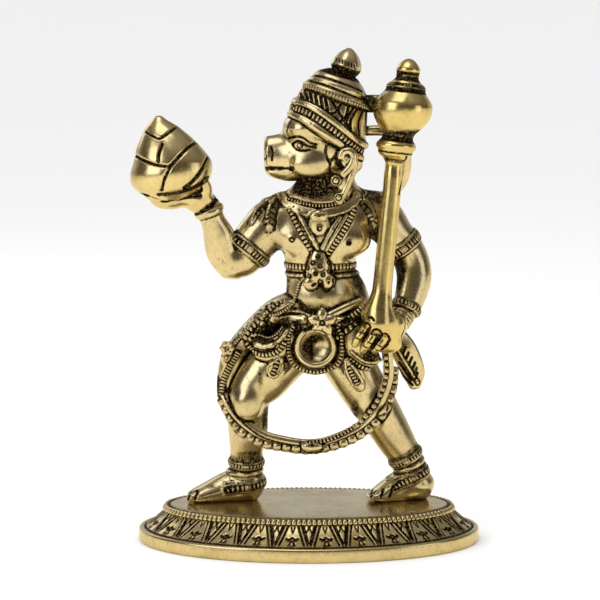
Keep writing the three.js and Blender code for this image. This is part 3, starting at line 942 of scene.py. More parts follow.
@dataclass
class Part:
    """One cast part: its casting, its rows, its patina and painted shade, and how it is finished."""

    name: str
    low: tuple
    high: tuple
    voxel: float = 0.3
    gold: float = 0.0
    keep: float = 0.6
    casting: Casting = field(init=False)
    soot: Array = field(init=False)
    rows: list[Row] = field(default_factory=list)

    def __post_init__(self) -> None:
        step = self.voxel * 1.0
        self.casting = Casting(self.low, self.high, step)
        self.soot = np.zeros(self.casting.size, np.float32)

    def build(self) -> None:
        """Casts and carves the part, each in its own way."""
        raise NotImplementedError

    def stain(self, line: Array, reach: float, amount: float = 1.0) -> None:
        """Leaves patina round a line."""
        part, away = self.casting.near(line, reach)
        self.soot[part] = np.maximum(self.soot[part], amount * (1 - ease(0.55 * reach, reach, away)))

    def cloud(self, centre: Point, radii: Point, amount: float) -> None:
        """Leaves patina in a round cloud; some calls use it to paint shade instead.

        Args:
            centre: its middle.
            radii: across, deep and high.
            amount: how thick it is there.
        """
        c, r = np.asarray(centre, float), np.asarray(radii, float)
        part = self.casting.window(c - r, c + r)
        x, y, z = self.casting.places(part)
        away = np.sqrt(((x - c[0]) / r[0]) ** 2 + ((y - c[1]) / r[1]) ** 2 + ((z - c[2]) / r[2]) ** 2)
        self.soot[part] = np.maximum(self.soot[part], amount * (1 - ease(0.4, 1.0, away)))

    def clouds(self, *rows: tuple[Point, Point, float]) -> None:
        """Leaves patina, and in places painted shade, in round clouds, each a centre, three radii and an
        amount.
        """
        for row in rows:
            self.cloud(*row)

    def rub(self, centre: Point, radii: Point, amount: float) -> None:
        """Takes patina off in a round cloud."""
        marks, self.soot = self.soot, np.zeros_like(self.soot)
        self.cloud(centre, radii, amount)
        self.soot = np.where(self.soot > 0, np.minimum(marks, -self.soot), marks)

    def stipple(self, path: Path, width: float, count: int, size: float = 0.45) -> None:
        """Punches dark pits at random round a path on the front.

        Args:
            path: points of x and z.
            width: how wide they are strewn.
            count: how many rays are tried.
            size: a pit's width.
        """
        chance = np.random.default_rng(len(self.rows) + count)
        starts = Spline([(x, 0.0, z) for x, z in path]).at(chance.random(count))
        starts[:, ::2] += chance.uniform(-0.5, 0.5, (count, 2)) * width
        starts[:, 1] = self.casting.low[1]
        for spot in self.casting.hit(starts, np.tile(BACK, (count, 1)), self.high[1] - self.low[1]):
            self.engrave(spot[None], size, 0.3)

    def rope(self, path: Path, size: float = 1.3) -> None:
        """Lays a twisted rope on the front."""
        self.row(self.casting.front(path), Unit.BEAD, 0.6 * size, (0.72 * size, size, size), lift=0.3)

    def row(
        self, line: Array, form: Unit, pitch: float, size: Point, lift: float = 0.0, stain: float = 0.35
    ) -> None:
        """Sets a row of beads or teeth along a line.

        Args:
            line: points on the surface.
            form: the small form to repeat.
            pitch: distance from one to the next.
            size: length along the line, width across it, and height.
            lift: how far their middles stand off the line.
            stain: how far past their sides the patina reaches.
        """
        away = self.casting.outward(line)
        smooth = away.copy()
        for _ in range(6):
            smooth[1:-1] = smooth[:-2] + smooth[1:-1] + smooth[2:]
            smooth = unit(smooth)
        self.rows.append(Row(line, smooth, form, pitch, *size, lift=lift))
        self.stain(line, size[1] / 2 + stain)

    def toothed(self, line: Array, width: float, pitch: float, height: float = 0.7) -> None:
        """Sets a row of teeth across a band."""
        self.row(line, Unit.TOOTH, pitch, (0.64 * pitch, width, height), lift=0.1 * height)

    def beaded(self, line: Array, size: float, spread: float = 1.02) -> None:
        """Sets a row of round beads."""
        self.row(line, Unit.BEAD, spread * size, (size, size, size), lift=0.12 * size)

    def engrave(self, line: Array, width: float = 0.45, depth: float = 0.4) -> None:
        """Cuts a line that holds patina."""
        self.casting.band(line, width, -depth, 0.22)
        self.stain(line, width / 2 + 0.25, 1.7)

    def cuts(self, *paths: Path, width: float = 0.45, depth: float = 0.4) -> None:
        """Engraves lines of x and z on the front."""
        for path in paths:
            self.engrave(self.casting.front(path), width, depth)

    def wipe(self, line: Array, reach: float, left: float = 0.0) -> None:
        """Rubs the patina off round a line, but for what is left."""
        part, away = self.casting.near(line, reach)
        self.soot[part] = np.minimum(self.soot[part], np.maximum(ease(0.6 * reach, reach, away), left))

    def plain(self, *strips: tuple[Path, float], height: float = 0.6, dark: float = 0.5) -> None:
        """Lays smooth strips on the front, bright on top and dark along their sides.

        Args:
            strips: the path of x and z and the width of each.
            height: how far they stand out.
            dark: how far past their sides the patina reaches.
        """
        lines = [(self.casting.front(path), width) for path, width in strips]
        for line, width in lines:
            self.casting.band(line, width, height, 0.2)
            self.stain(line, width / 2 + dark)
        for line, width in lines:
            self.wipe(line, width / 2 + 0.1)

    def ladder(self, path: Path, width: float, pitch: float, fill: float = 0.72, height: float = 0.8) -> None:
        """Sets a strip of blocks on the front, on a sunk black bed.

        Args:
            path: points of x and z.
            width: length of a block across the strip.
            pitch: distance from one to the next.
            fill: the share of it that a block takes.
            height: how high a block is.
        """
        line = self.casting.front(path)
        self.casting.band(line, width + 0.3, -0.3, 0.25)
        self.row(line, Unit.TOOTH, pitch, (fill * pitch, width, height), lift=0.1)

    def leaf(self, path: Path, width: float, pitch: float = 1.7) -> None:
        """Lays a pointed leaf with slanting cuts across it on the front.

        Args:
            path: points of x and z from its stem to its tip.
            width: its width.
            pitch: distance from cut to cut.
        """
        line = self.casting.front(path)
        self.stain(line, width / 2 + 0.5)
        shares = ((0, 0.3), (0.3, 0.52), (0.6, 0.44), (0.85, 0.24), (1, 0.06))
        stations = [(*line[int(share * (len(line) - 1))], half * width, 0.5) for share, half in shares]
        self.casting.add(loft(stations), blend=0.2)
        self.wipe(line, 0.45 * width, 0.2)
        for x, _, z in line[3 :: max(1, int(pitch / LINE_STEP))][:-1]:
            for way in (-1, 1):
                slant = [(x + way * 0.1, z + 0.2), (x + way * 0.3 * width, z - 0.7)]
                self.cuts(slant, width=0.12, depth=0.25)

    def ring_dot(self, x: float, z: float, radius: float, back: bool = False) -> None:
        """Raises a round boss on the front and engraves a ring in it.

        Args:
            x: its middle.
            z: its middle.
            radius: the boss's radius.
            back: whether it is on the back.
        """
        spot = self.casting.spot(x, z, back)
        self.casting.band(spot, 2 * radius, 0.3, 0.25)
        part, away = self.casting.near(spot, radius + 0.6)
        ring = np.clip(1 - np.abs(away - 0.68 * radius) / 0.32, 0, 1)
        self.casting.field[part] += 0.3 * ring
        self.soot[part] = np.maximum(np.where(away < radius, 0, self.soot[part]), 2 * ring)

    def limb_ring(self, stations: Path, share: float, reach: float) -> Array:
        """A line round a limb.

        Args:
            stations: the limb's stations.
            share: how far along them it lies.
            reach: a distance outside the limb.

        Returns:
            Points on the surface.
        """
        path = Spline(np.asarray(stations, float)[:, :3])
        here, there = path.at(np.array([share - 0.02, share + 0.02]))
        return self.casting.ring((here + there) / 2, there - here, reach, (-90, 275))

    def bangle(self, stations: Path, share: float, reach: float, size: Point, teeth: float = 0.0) -> None:
        """A band round a limb, plain or with a row of teeth between two plain edges.

        Args:
            stations: the limb's stations.
            share: where the band sits.
            reach: a distance outside the limb.
            size: the band's width and how far it stands out.
            teeth: pitch of its teeth, or 0 for a plain band.
        """
        width, height = size
        line = self.limb_ring(stations, share, reach)
        self.casting.band(line, width, height, 0.25)
        self.stain(line, width / 2 + 0.5, 0.85)
        if teeth:
            self.engrave(self.limb_ring(stations, share, reach), 0.6 * width, 0.3 * height)
            self.toothed(self.limb_ring(stations, share, reach), 0.62 * width, teeth)
        else:
            self.wipe(line, width / 2 + 0.2, 0.15)


class Figure:
    """All cast parts of the figure, and the patina that gathers where they meet."""

    # How wide the surface is softened to find narrow and broad hollows, and the depth that each takes in.
    NARROW = (0.5, 1.2)
    BROAD = (1.5, 2.2)
    # Where patina begins and where it is full: by depth in narrow and in broad hollows, by height on what
    # stands out, and by distance from another part.
    IN_NARROW = (0.02, 0.13)
    IN_BROAD = (0.12, 0.5)
    ON_RISE = (0.05, 0.3)
    NEAR_PART = (0.1, 0.8)

    def __init__(self, finish: bpy.types.Material) -> None:
        """Makes the row maker."""
        self.finish = finish
        self.maker = RowMaker(finish)
        self.parts: list[Part] = []

    def soot(self, part: Part, points: Array, on_row: Array) -> Array:
        """How thick the patina, and the shade painted along with it, lies at points.

        Args:
            part: the part that the points are on.
            points: drawn millimetres.
            on_row: 1 for points of beads and teeth, whose tops stay bright.

        Returns:
            A number from 0 to 1 for each point.
        """
        block = part.casting
        hollow, wide = (
            -block.read(blurred(np.clip(block.field, -depth, depth), width / block.voxel), points)
            for width, depth in (self.NARROW, self.BROAD)
        )
        marked = block.read(part.soot, points)
        out = ease(*self.IN_NARROW, hollow) + 0.7 * ease(*self.IN_BROAD, wide)
        out = np.maximum(out, marked * (0.9 - 1.6 * np.clip(-hollow, 0, 0.5)))
        out += np.minimum(marked, 0) - 0.35 * ease(*self.ON_RISE, -hollow)
        nearest = np.full(len(points), 9.0)
        for other in self.parts:
            gap = other.casting.sample(points)
            if other is part:
                nearest = np.minimum(nearest, gap)
                continue
            nearest = np.minimum(nearest, np.maximum(gap, 0))
            out = np.maximum(out, 1 - ease(*self.NEAR_PART, gap))
        tops = np.maximum(1 - ease(0.0, 0.3, nearest), 0.15)
        return np.clip(np.where(on_row > 0.5, tops, out), 0, 1)

    def piece(self, part: Part) -> None:
        """Makes a part's piece, with its rows, its patina and painted shade, and its finish.

        Args:
            part: a part that is cast and carved.
        """
        bare = mesh_object(part.name, *surface(part.casting))
        bare.modifiers.new("thin", "DECIMATE").ratio = part.keep
        points, faces = settled(bare)
        on_row = np.zeros(len(points))
        if part.rows:
            more, sides = self.maker.joined(part.rows)
            on_row = np.r_[on_row, np.ones(len(more))]
            points, faces = with_more(points, faces, more, sides)
        soot = self.soot(part, points, on_row)
        gold = np.full(len(points), part.gold)
        made = as_piece(part.name, to_world(points), faces, self.finish, soot=soot, gold=gold)
        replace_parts(made, "figure")


def surface(block: Casting) -> tuple[Array, Array]:
    """The surface of a casting.

    Args:
        block: the casting.

    Returns:
        Points in drawn millimetres, and four-sided faces that face outwards.
    """
    padded = np.pad(block.field, 1, constant_values=block.far)
    grid = openvdb.FloatGrid(block.far)
    grid.copyFromArray(padded)
    points, quads = grid.convertToQuads(isovalue=0.0)
    points = points.astype(float) * block.voxel + block.low - block.voxel
    a, b, c, d = (points[quads[:, i]] for i in range(4))
    volume = (np.cross(b - a, c - a) * a).sum() + (np.cross(c - a, d - a) * a).sum()
    return points, quads if volume > 0 else quads[:, ::-1]


TORSO = [
    (2.6, 5, 46, 9.2, 7.8), (3.4, 5, 58, 11, 8.6), (3.6, 4.4, 64, 10.6, 8.6), (3.4, 4.8, 70, 10.2, 8),
    (3.4, 5, 75, 10.8, 8), (4.2, 5, 80, 12.6, 8.5), (4.8, 5, 85, 13.8, 8.4), (4.8, 5, 89.4, 14, 7.9),
    (4.5, 5, 92.8, 13.6, 7.2), (4.7, 4.8, 95.6, 10.9, 6.7), (5, 4.4, 98.6, 8.8, 6.6),
    (5.4, 4, 102, 8, 6.4),
]
RIGHT_ARM = [
    (-3, 5.4, 87, 6.4, 6.4), (-10.8, 4.8, 85.6, 7.5, 6.8), (-14.4, 4, 82.6, 7, 6.4),
    (-17.9, 3.2, 78.2, 6.6, 5.9), (-21.2, 2.4, 74.2, 5.6, 5.3), (-23.2, 2, 72.2, 4, 4.2),
]
RIGHT_FOREARM = [
    (-22.8, 1.9, 72.8, 4.6, 4.6), (-25.9, 0.9, 77.4, 4.9, 4.6), (-27, -0.2, 82.6, 4.7, 4.2),
    (-28.8, -1.2, 87.4, 3.7, 3.7), (-30.4, -1.9, 91.6, 4, 3.8), (-35.6, -2.4, 94.6, 3.9, 4.8),
    (-41, -2.6, 94.6, 3.4, 5.2), (-45.4, -2.8, 95.6, 2.6, 4.8),
]
LEFT_ARM = [
    (12, 5.6, 87.6, 6.2, 6.4), (20.4, 6, 87.8, 6.8, 6.5), (26, 7, 81.8, 5.8, 5.6),
    (30.6, 8, 75, 5.4, 5.2), (31.8, 7.2, 69.4, 5.3, 5), (30.2, 4.8, 62.4, 4.6, 4.4),
    (27.4, 1.6, 57, 3.6, 3.5), (23.5, -2.4, 53, 4.4, 3.6),
]
RIGHT_LEG = [
    (-2.5, 5, 50.5, 8.6, 7.8), (-8.5, 4.6, 45, 8.3, 7.4), (-13.8, 4.2, 39, 8, 7),
    (-18, 4, 33.6, 6.6, 6.4), (-18.6, 5, 28, 6.2, 6), (-18.6, 6.2, 22, 6, 5.8),
    (-19, 7.6, 15.6, 5.1, 5.1), (-19.1, 8.6, 9.6, 4.9, 4.9), (-18.6, 9.2, 4.6, 5, 5),
]
RIGHT_FOOT = [
    (-17, 10.8, 3.4, 4.4, 4.5), (-21, 10, 4.4, 5.4, 4.8), (-25.5, 9, 3.8, 4.8, 4.9),
    (-30.2, 7.8, 2.7, 3.6, 5), (-34.6, 6.9, 1.7, 2.4, 4.6),
]
LEFT_LEG = [
    (7.5, 5, 50.5, 8.6, 7.8), (11.5, 5, 44, 8, 7.4), (15.5, 5.4, 37, 7.4, 7), (19.6, 6, 30.5, 6.9, 6.6),
    (23, 6.8, 25, 6.3, 6.1), (26.6, 7.8, 18.8, 5.7, 5.6), (29.9, 8.9, 13, 4.9, 4.9),
    (31.9, 9.7, 8, 4.7, 4.8), (33.8, 10, 4.2, 4.9, 4.9),
]
LEFT_FOOT = [
    (35.2, 12, 3.4, 4.2, 4.4), (31, 11, 4.4, 5, 4.8), (27, 9.6, 3.6, 4.6, 4.9),
    (23.6, 8.4, 2.6, 3.6, 4.9), (20.8, 7.4, 1.6, 2.6, 4.7),
]
HEAD = [
    (-13.5, 3, 106.9, 4.4, 3.4), (-12.6, 3, 106.2, 5.9, 4.5), (-9, 3, 105.8, 6.9, 5.1),
    (-6, 3, 106.2, 7.7, 5.9), (-2.5, 3, 108.2, 9.6, 7.3), (3, 3, 109, 10.5, 8.3), (8.5, 3, 108.6, 9.9, 8),
    (13, 3, 107.4, 7.6, 6.6), (16, 3.2, 106.4, 4, 3.8),
]
CROWN_AXIS = (0.37, 0, 0.93)
CROWN = [
    (4.6, 3, 111.2, 11.4, 9.2), (5.3, 3, 113.6, 12.5, 10.2), (5.9, 3, 117.2, 12, 10),
    (7.1, 3, 120.6, 11, 9.4), (8.1, 3, 123.6, 10.1, 8.8), (9, 3, 126.2, 9.2, 8.1),
    (9.5, 3, 128.8, 7.5, 6.8), (10.2, 3, 130.8, 4.4, 4.2),
]
FINIAL = [
    (0, 3.5), (0.5, 4), (1.2, 4.5), (2.2, 4.55), (3.7, 4.1), (5.1, 3.3), (6.2, 2.3), (7, 1.3), (7.5, 0.5),
]
MACE_FOOT = (20.4, -8, 54)
MACE_TIP = (29.8, -3, 135.4)
MACE = [
    (0, 3.6), (1.5, 4.4), (3.5, 4.6), (5.5, 4.1), (7.5, 3.5), (12, 3), (30, 2.85), (46, 2.75),
    (51.6, 2.8), (52.4, 3.8), (53.2, 4.8), (54.2, 5.2), (54.7, 5.1), (55.2, 5.8), (56.2, 6.1),
    (57.2, 5.5), (57.9, 4.8), (58.8, 4.6), (59.8, 4.9), (61, 5.9), (62.6, 7.3), (64.4, 8.4), (66.6, 8.8),
    (68.6, 8.6), (70.4, 7.5), (71.8, 6.3), (72.5, 5.8), (73.2, 6), (74.4, 4.9), (75.4, 4), (75.9, 3.4),
    (76.5, 3.3), (77.1, 3.5), (77.5, 3.2), (77.9, 3.5), (78.5, 3.7), (79.4, 3.4), (80.5, 2.6),
    (81.5, 1.5), (82, 0.5),
]
MACE_BEND = ((54, 75, 97, 106, 110, 121.4, 131), (0, -0.4, -0.8, -1.2, -1.1, -0.25, -0.1))
HILL = [
    (-41.4, -3, 93.6, 6, 5), (-41.6, -3, 97.6, 11.2, 9.2), (-41, -3, 101.4, 12.1, 10),
    (-40.5, -3, 105, 11.6, 9.6), (-41.4, -3, 108.6, 9.9, 8.4), (-42.4, -3, 112.2, 7.4, 6.5),
    (-43.6, -3, 115.4, 4.6, 4.1), (-44.5, -3, 117.6, 1.7, 1.6),
]
TAIL = [
    (3, 10, 52, 2.6, 2.6), (4, 16, 57, 2.5, 2.5), (8, 20, 67, 2.4, 2.4), (14, 20.4, 79, 2.3, 2.3),
    (21, 17.4, 90, 2.2, 2.2), (27.6, 13.4, 97.4, 2.1, 2.1), (29, 11, 103, 2, 2),
    (28.2, 8.6, 109, 1.9, 1.9), (24.4, 6.4, 113, 1.7, 1.7), (14, 5, 113.4, 1.5, 1.5),
]
REAR_SASH_END = [
    (11, 9, 56, 2.4, 2.4), (18, 9.8, 56, 2.6, 2.2), (24.6, 10.8, 52.4, 3, 2), (29.2, 12, 45.6, 4.2, 1.7),
    (32, 13.2, 38.8, 3.8, 1.5), (32.6, 13.8, 33.6, 1.6, 1.1),
]
HIP_SASH = [
    (-1, 5, 62.4, 4, 7.6), (-9, 5.4, 59.2, 4.2, 7.6), (-15.2, 6, 54, 4, 7.2), (-20.2, 6.2, 48.8, 3.6, 6),
    (-23.4, 5.8, 43.8, 3.5, 4.2), (-25, 5, 38.6, 2.9, 3), (-26.3, 3.8, 32, 1.7, 2),
]
GARLAND_INNER = [
    (-26, 4.6, 39), (-25.8, 3, 34.6), (-22.9, 0.8, 29.4), (-15.1, -1.6, 22.7), (-6.4, -3, 20.3),
    (0.8, -3.3, 19.6), (7.6, -2.8, 21.1), (15, -1.8, 24.9), (20.6, -1.2, 31.4), (23.7, -1.4, 39.8),
    (23.4, -1.6, 48),
]
GARLAND_OUTER = [
    (-26.4, 4, 31.6), (-21.8, 0.8, 24), (-14.6, -1.4, 19.8), (-6.6, -2.6, 18.4), (0.8, -3, 17.8),
    (8.4, -2.4, 19.2), (16.8, -1, 23), (22.4, 0.2, 28.6), (25.4, 2.4, 35.6), (26, 4.4, 41),
]


class Trunk(Part):
    """The chest, belly, neck and both arms, with their jewels."""

    def build(self) -> None:
        """Melts the limbs together and lays the jewels on them."""
        c = self.casting
        c.add(loft(TORSO, UP))
        c.add(ball((-3.2, -0.2, 81.8), (6.4, 3.6, 5.4)), ball((12.2, -0.2, 81.4), (6.4, 3.6, 5.4)), blend=2.5)
        c.add(loft(RIGHT_ARM), loft(LEFT_ARM), blend=2.5)
        c.add(loft([(7, 5.6, 72, 5, 6), (11, 5.6, 65.4, 6, 7), (13, 5.6, 60, 6, 7)]), blend=1.5)
        c.add(loft(RIGHT_FOREARM[:5]), blend=1.2)
        c.smooth(0.4)
        spine = c.front([(4.4, 96), (4.2, 84), (3.6, 72), (3.4, 62)], back=True)
        c.band(spine, 1.6, -0.45, 2.2)
        self.straps()
        self.collar()
        self.waist_bands()
        self.medallion()
        self.arm_rings()
        self.stipple([(-3.4, 96.6), (2, 98.6), (7, 98)], 3.4, 60)
        self.clouds(
            ((1.4, 0, 98), (12, 11, 6.4), 1),
            ((-12, 3, 92.4), (8, 9, 4.6), 0.6),
            ((19, 5, 93.4), (9, 9, 4.6), 0.6),
            ((19, 4, 82), (4.6, 9, 11), 0.85),
            ((-9.6, 5, 79.6), (4.6, 9, 6), 0.75),
            ((-19.6, 5, 81), (5, 7, 5), 0.6),
            ((-13.4, 0, 88.4), (4, 5, 5), 0.5),
            # Painted shade on the left arm's inner side, where it faces the body.
            ((26.4, 4, 72), (4, 8, 10), 0.9),
            ((14.6, 2, 64), (4, 7, 5), 0.6),
            ((-7.6, 5, 68), (4, 9, 9), 0.7),
            ((14.4, 5, 68), (4, 9, 9), 0.7),
            ((3.4, -3.4, 64.8), (2.2, 3, 1.6), 0.5),
            ((2, 4, 61.4), (14, 12, 3), 0.8),
        )

    def collar(self) -> None:
        """The plate round the neck with its ticks, its pendant and its punched dots."""
        c = self.casting
        axis = (-0.04, -0.42, 1)
        c.band(c.ring((4.2, 5, 93.4), axis, 19, (0, 180)), 3, 0.6, 0.25)
        self.beaded(c.ring((4.2, 4.7, 94.9), axis, 19, (-40, 220)), 0.95)
        tongue = c.front([(2.9, 87.2), (2.9, 85.2)])
        self.stain(tongue, 3.6)
        c.add(ball((2.9, -3.3, 86.4), (3.1, 0.9, 3.6)), blend=0.15)
        crescent = [
            (-8.8, 95), (-7.4, 93), (-4.8, 91.2), (-1.4, 89.9), (2.8, 89.4), (6.8, 89.8), (10.6, 90.9),
            (13.2, 92.4), (14.2, 94.4),
        ]
        self.plain((crescent, 3), height=0.5, dark=0.6)
        # Painted shadow in the dark V between the collar's end and the chest.
        self.cloud((-8.7, -1, 92.2), (1.5, 5, 2.2), 1)
        self.wipe(c.front([(2.9, 89.2), (2.9, 85.2)]), 2.9)
        self.ladder([(-5.9, 93.5), (-3.2, 92.6), (1.8, 91.7), (6.6, 91.8), (10.4, 93)], 1.3, 0.95, 0.5)
        self.ring_dot(3.1, 85, 1.05)
        dots = (
            (-4.6, 91.2), (-2.8, 90.3), (-0.6, 89.7), (1.7, 90.1), (3.4, 90), (6.6, 90.2), (2.1, 88.4),
            (2.9, 88.6),
        )
        for x, z in dots:
            self.engrave(c.spot(x, z), 0.35, 0.35)

    def straps(self) -> None:
        """The crossed straps on the chest, and the leaves on the shoulders."""
        self.plain(
            ([(-3.2, 89.2), (-0.9, 85.2), (1.4, 81), (2.8, 78.4)], 1.4),
            ([(9.1, 88.1), (6.6, 84.1), (3.7, 78.4)], 1.4),
            ([(11.2, 88.7), (8.7, 84.8), (5.2, 78.4)], 1.2),
            dark=0.7,
        )
        self.ladder([(-5.7, 90.2), (-4, 86.6), (-2, 82.7), (1, 77.6)], 1.5, 1.3)
        self.ladder([(13.5, 90.2), (10.8, 85), (8.1, 80.8), (5.8, 77.4)], 1.9, 1.2)
        self.ring_dot(-5.1, 81.6, 1.05)
        self.ring_dot(11.8, 80.6, 0.9)
        self.leaf([(-8.7, 94.3), (-11.8, 92.2), (-15, 90.1), (-17.3, 86.7)], 3)
        self.leaf([(-8.5, 94), (-10.1, 92), (-11.6, 88.6), (-12.1, 85)], 3.6)
        self.leaf([(14.6, 93.4), (17.2, 91.2), (19, 87.6), (19.4, 84.4)], 3.4)
        self.cuts([(-8.2, 92.6), (-9.4, 90.2), (-9.9, 87), (-10.4, 84.4)])

    def waist_bands(self) -> None:
        """The toothed band and the plain band under the breasts."""
        c = self.casting
        low = c.ring((3.4, 5, 70.6), UP, 16)
        c.band(low, 1.4, 0.7, 0.25)
        self.stain(low, 1.5)
        self.wipe(low, 0.7)
        line = c.ring((3.4, 5, 73.2), UP, 16)
        self.row(line, Unit.TOOTH, 1.25, (0.9, 1.9, 0.9), lift=0.2)

    def medallion(self) -> None:
        """The long smooth ornament with engraved rings that hangs from the straps to the belly."""
        c = self.casting
        plate = [
            (2.7, -2.9, 77.8, 1.9, 1.2), (2.7, -3.4, 74.4, 3.1, 1.6), (2.6, -3.6, 71.4, 3.5, 1.7),
            (2.8, -3.5, 69.4, 3.2, 1.5),
        ]
        edge = [
            (0.6, 77.6), (-0.9, 73.2), (-1.2, 69), (0.8, 66.4), (2.8, 68.2), (5.4, 66.2), (7.4, 69),
            (6.6, 73.6), (4.8, 77.6),
        ]
        dots = (
            (2.6, 76.6), (1.2, 74.7), (3.2, 73.8), (-0.3, 73.2), (5.7, 74.6), (0.2, 70.8), (1.9, 71.6),
            (4.1, 71.3), (3.3, 69.2), (5.8, 72.2),
        )
        self.stain(c.front(edge), 0.8)
        bulbs = ball((0.5, -3.9, 68.6), (2.3, 1.2, 2.1)), ball((5.6, -3.7, 69), (2.2, 1.2, 2.3))
        c.add(loft(plate), *bulbs, blend=0.25)
        for x, z in dots:
            self.ring_dot(x, z, 0.9)
        self.engrave(c.front([(1, 68), (1.8, 68.4)]), 0.7, 0.6)
        self.engrave(c.spot(5.8, 68.9), 0.6, 0.5)
        self.cuts(
            [(4.4, 67.2), (3.9, 68.6), (3, 68.2), (2.6, 67)],
            [(7, 69.8), (7.3, 68.4), (6.6, 67.2), (5.4, 66.7)],
        )

    def arm_rings(self) -> None:
        """The armlets and the bracelets, and the rope beside the belly."""
        self.bangle(RIGHT_ARM, 3.1 / 5, 8, (3.6, 0.6), 1.15)
        self.bangle(LEFT_ARM, 2.42 / 7, 8, (3.8, 0.6), 1.1)
        self.rope([(-1.4, 70), (-2.6, 68.6), (-3.3, 66.2), (-4.2, 63.3)])
        self.bangle(RIGHT_FOREARM, 0.515, 8, (2.2, 0.7))
        self.bangle(LEFT_ARM, 5.4 / 7, 8, (2.4, 0.7), 1.2)
        for share in (5.8 / 7, 5.95 / 7, 6.1 / 7):
            self.bangle(LEFT_ARM, share, 8, (0.7, 0.4))


class RaisedHand(Part):
    """The open right hand and the hill that it carries."""

    def build(self) -> None:
        """Melts the palm and the fingers, and sets the hill on them."""
        c = self.casting
        c.add(loft(RIGHT_FOREARM[4:]), blend=1.0)
        for place in (-1.5, -0.5, 0.5, 1.5):
            y = place * 2.3 - 2.9
            finger = [(-40.6, y, 93.6, 1.5, 1.5), (-46, y, 94.4, 1.35, 1.35), (-49.8, y, 97.4, 1.1, 1.1)]
            c.add(loft(finger), blend=0.6)
        thumb = [(-31.4, -3.4, 93, 2.1, 2.1), (-30.4, -5.6, 97, 1.7, 1.7), (-31.4, -7.8, 100, 1.3, 1.3)]
        c.add(loft(thumb), blend=1.0)
        self.cuts([(-32, 95), (-38, 94.2), (-43.5, 93.4)], width=0.5, depth=0.5)
        c.smooth(0.3)
        hill = Casting(self.low, self.high, c.voxel)
        hill.add(loft(HILL, UP, sides=48))
        hill.smooth(0.5)
        c.field = np.minimum(c.field, hill.field)
        self.cracks()

    def cracks(self) -> None:
        """Splits the hill into boulders, on both its sides."""
        c = self.casting
        cracks = [
            ([(-48.2, 113.8), (-46, 112.7), (-44.1, 112.1), (-41.2, 113.8), (-38.8, 115.5)], 0.6),
            ([(-43.1, 110.6), (-44.1, 107.6), (-44.3, 105.4)], 0.6),
            ([(-51.9, 106.9), (-49, 105.7), (-44.5, 104.4), (-41, 104)], 0.95),
            ([(-40.8, 104.1), (-38.2, 107), (-35, 109.9), (-32.9, 110.8)], 1.05),
            ([(-41, 103.4), (-42.4, 100.6), (-43.3, 96.9)], 0.75),
            ([(-30, 106.2), (-31.6, 102.8), (-34.4, 99.4), (-36.6, 97.6)], 1.05),
        ]
        for path, width in cracks:
            for back in (False, True):
                line = c.front(path, back=back)
                c.band(line, width, -1, 0.3)
                self.stain(line, width / 2 + 0.2)
        self.stain(c.front([(-50.6, 95.6), (-47.5, 95.2)]), 0.7)
        self.stain(c.front([(-44.2, 95.6), (-38, 96.4), (-33, 98.2), (-30, 100.2)]), 1.1)


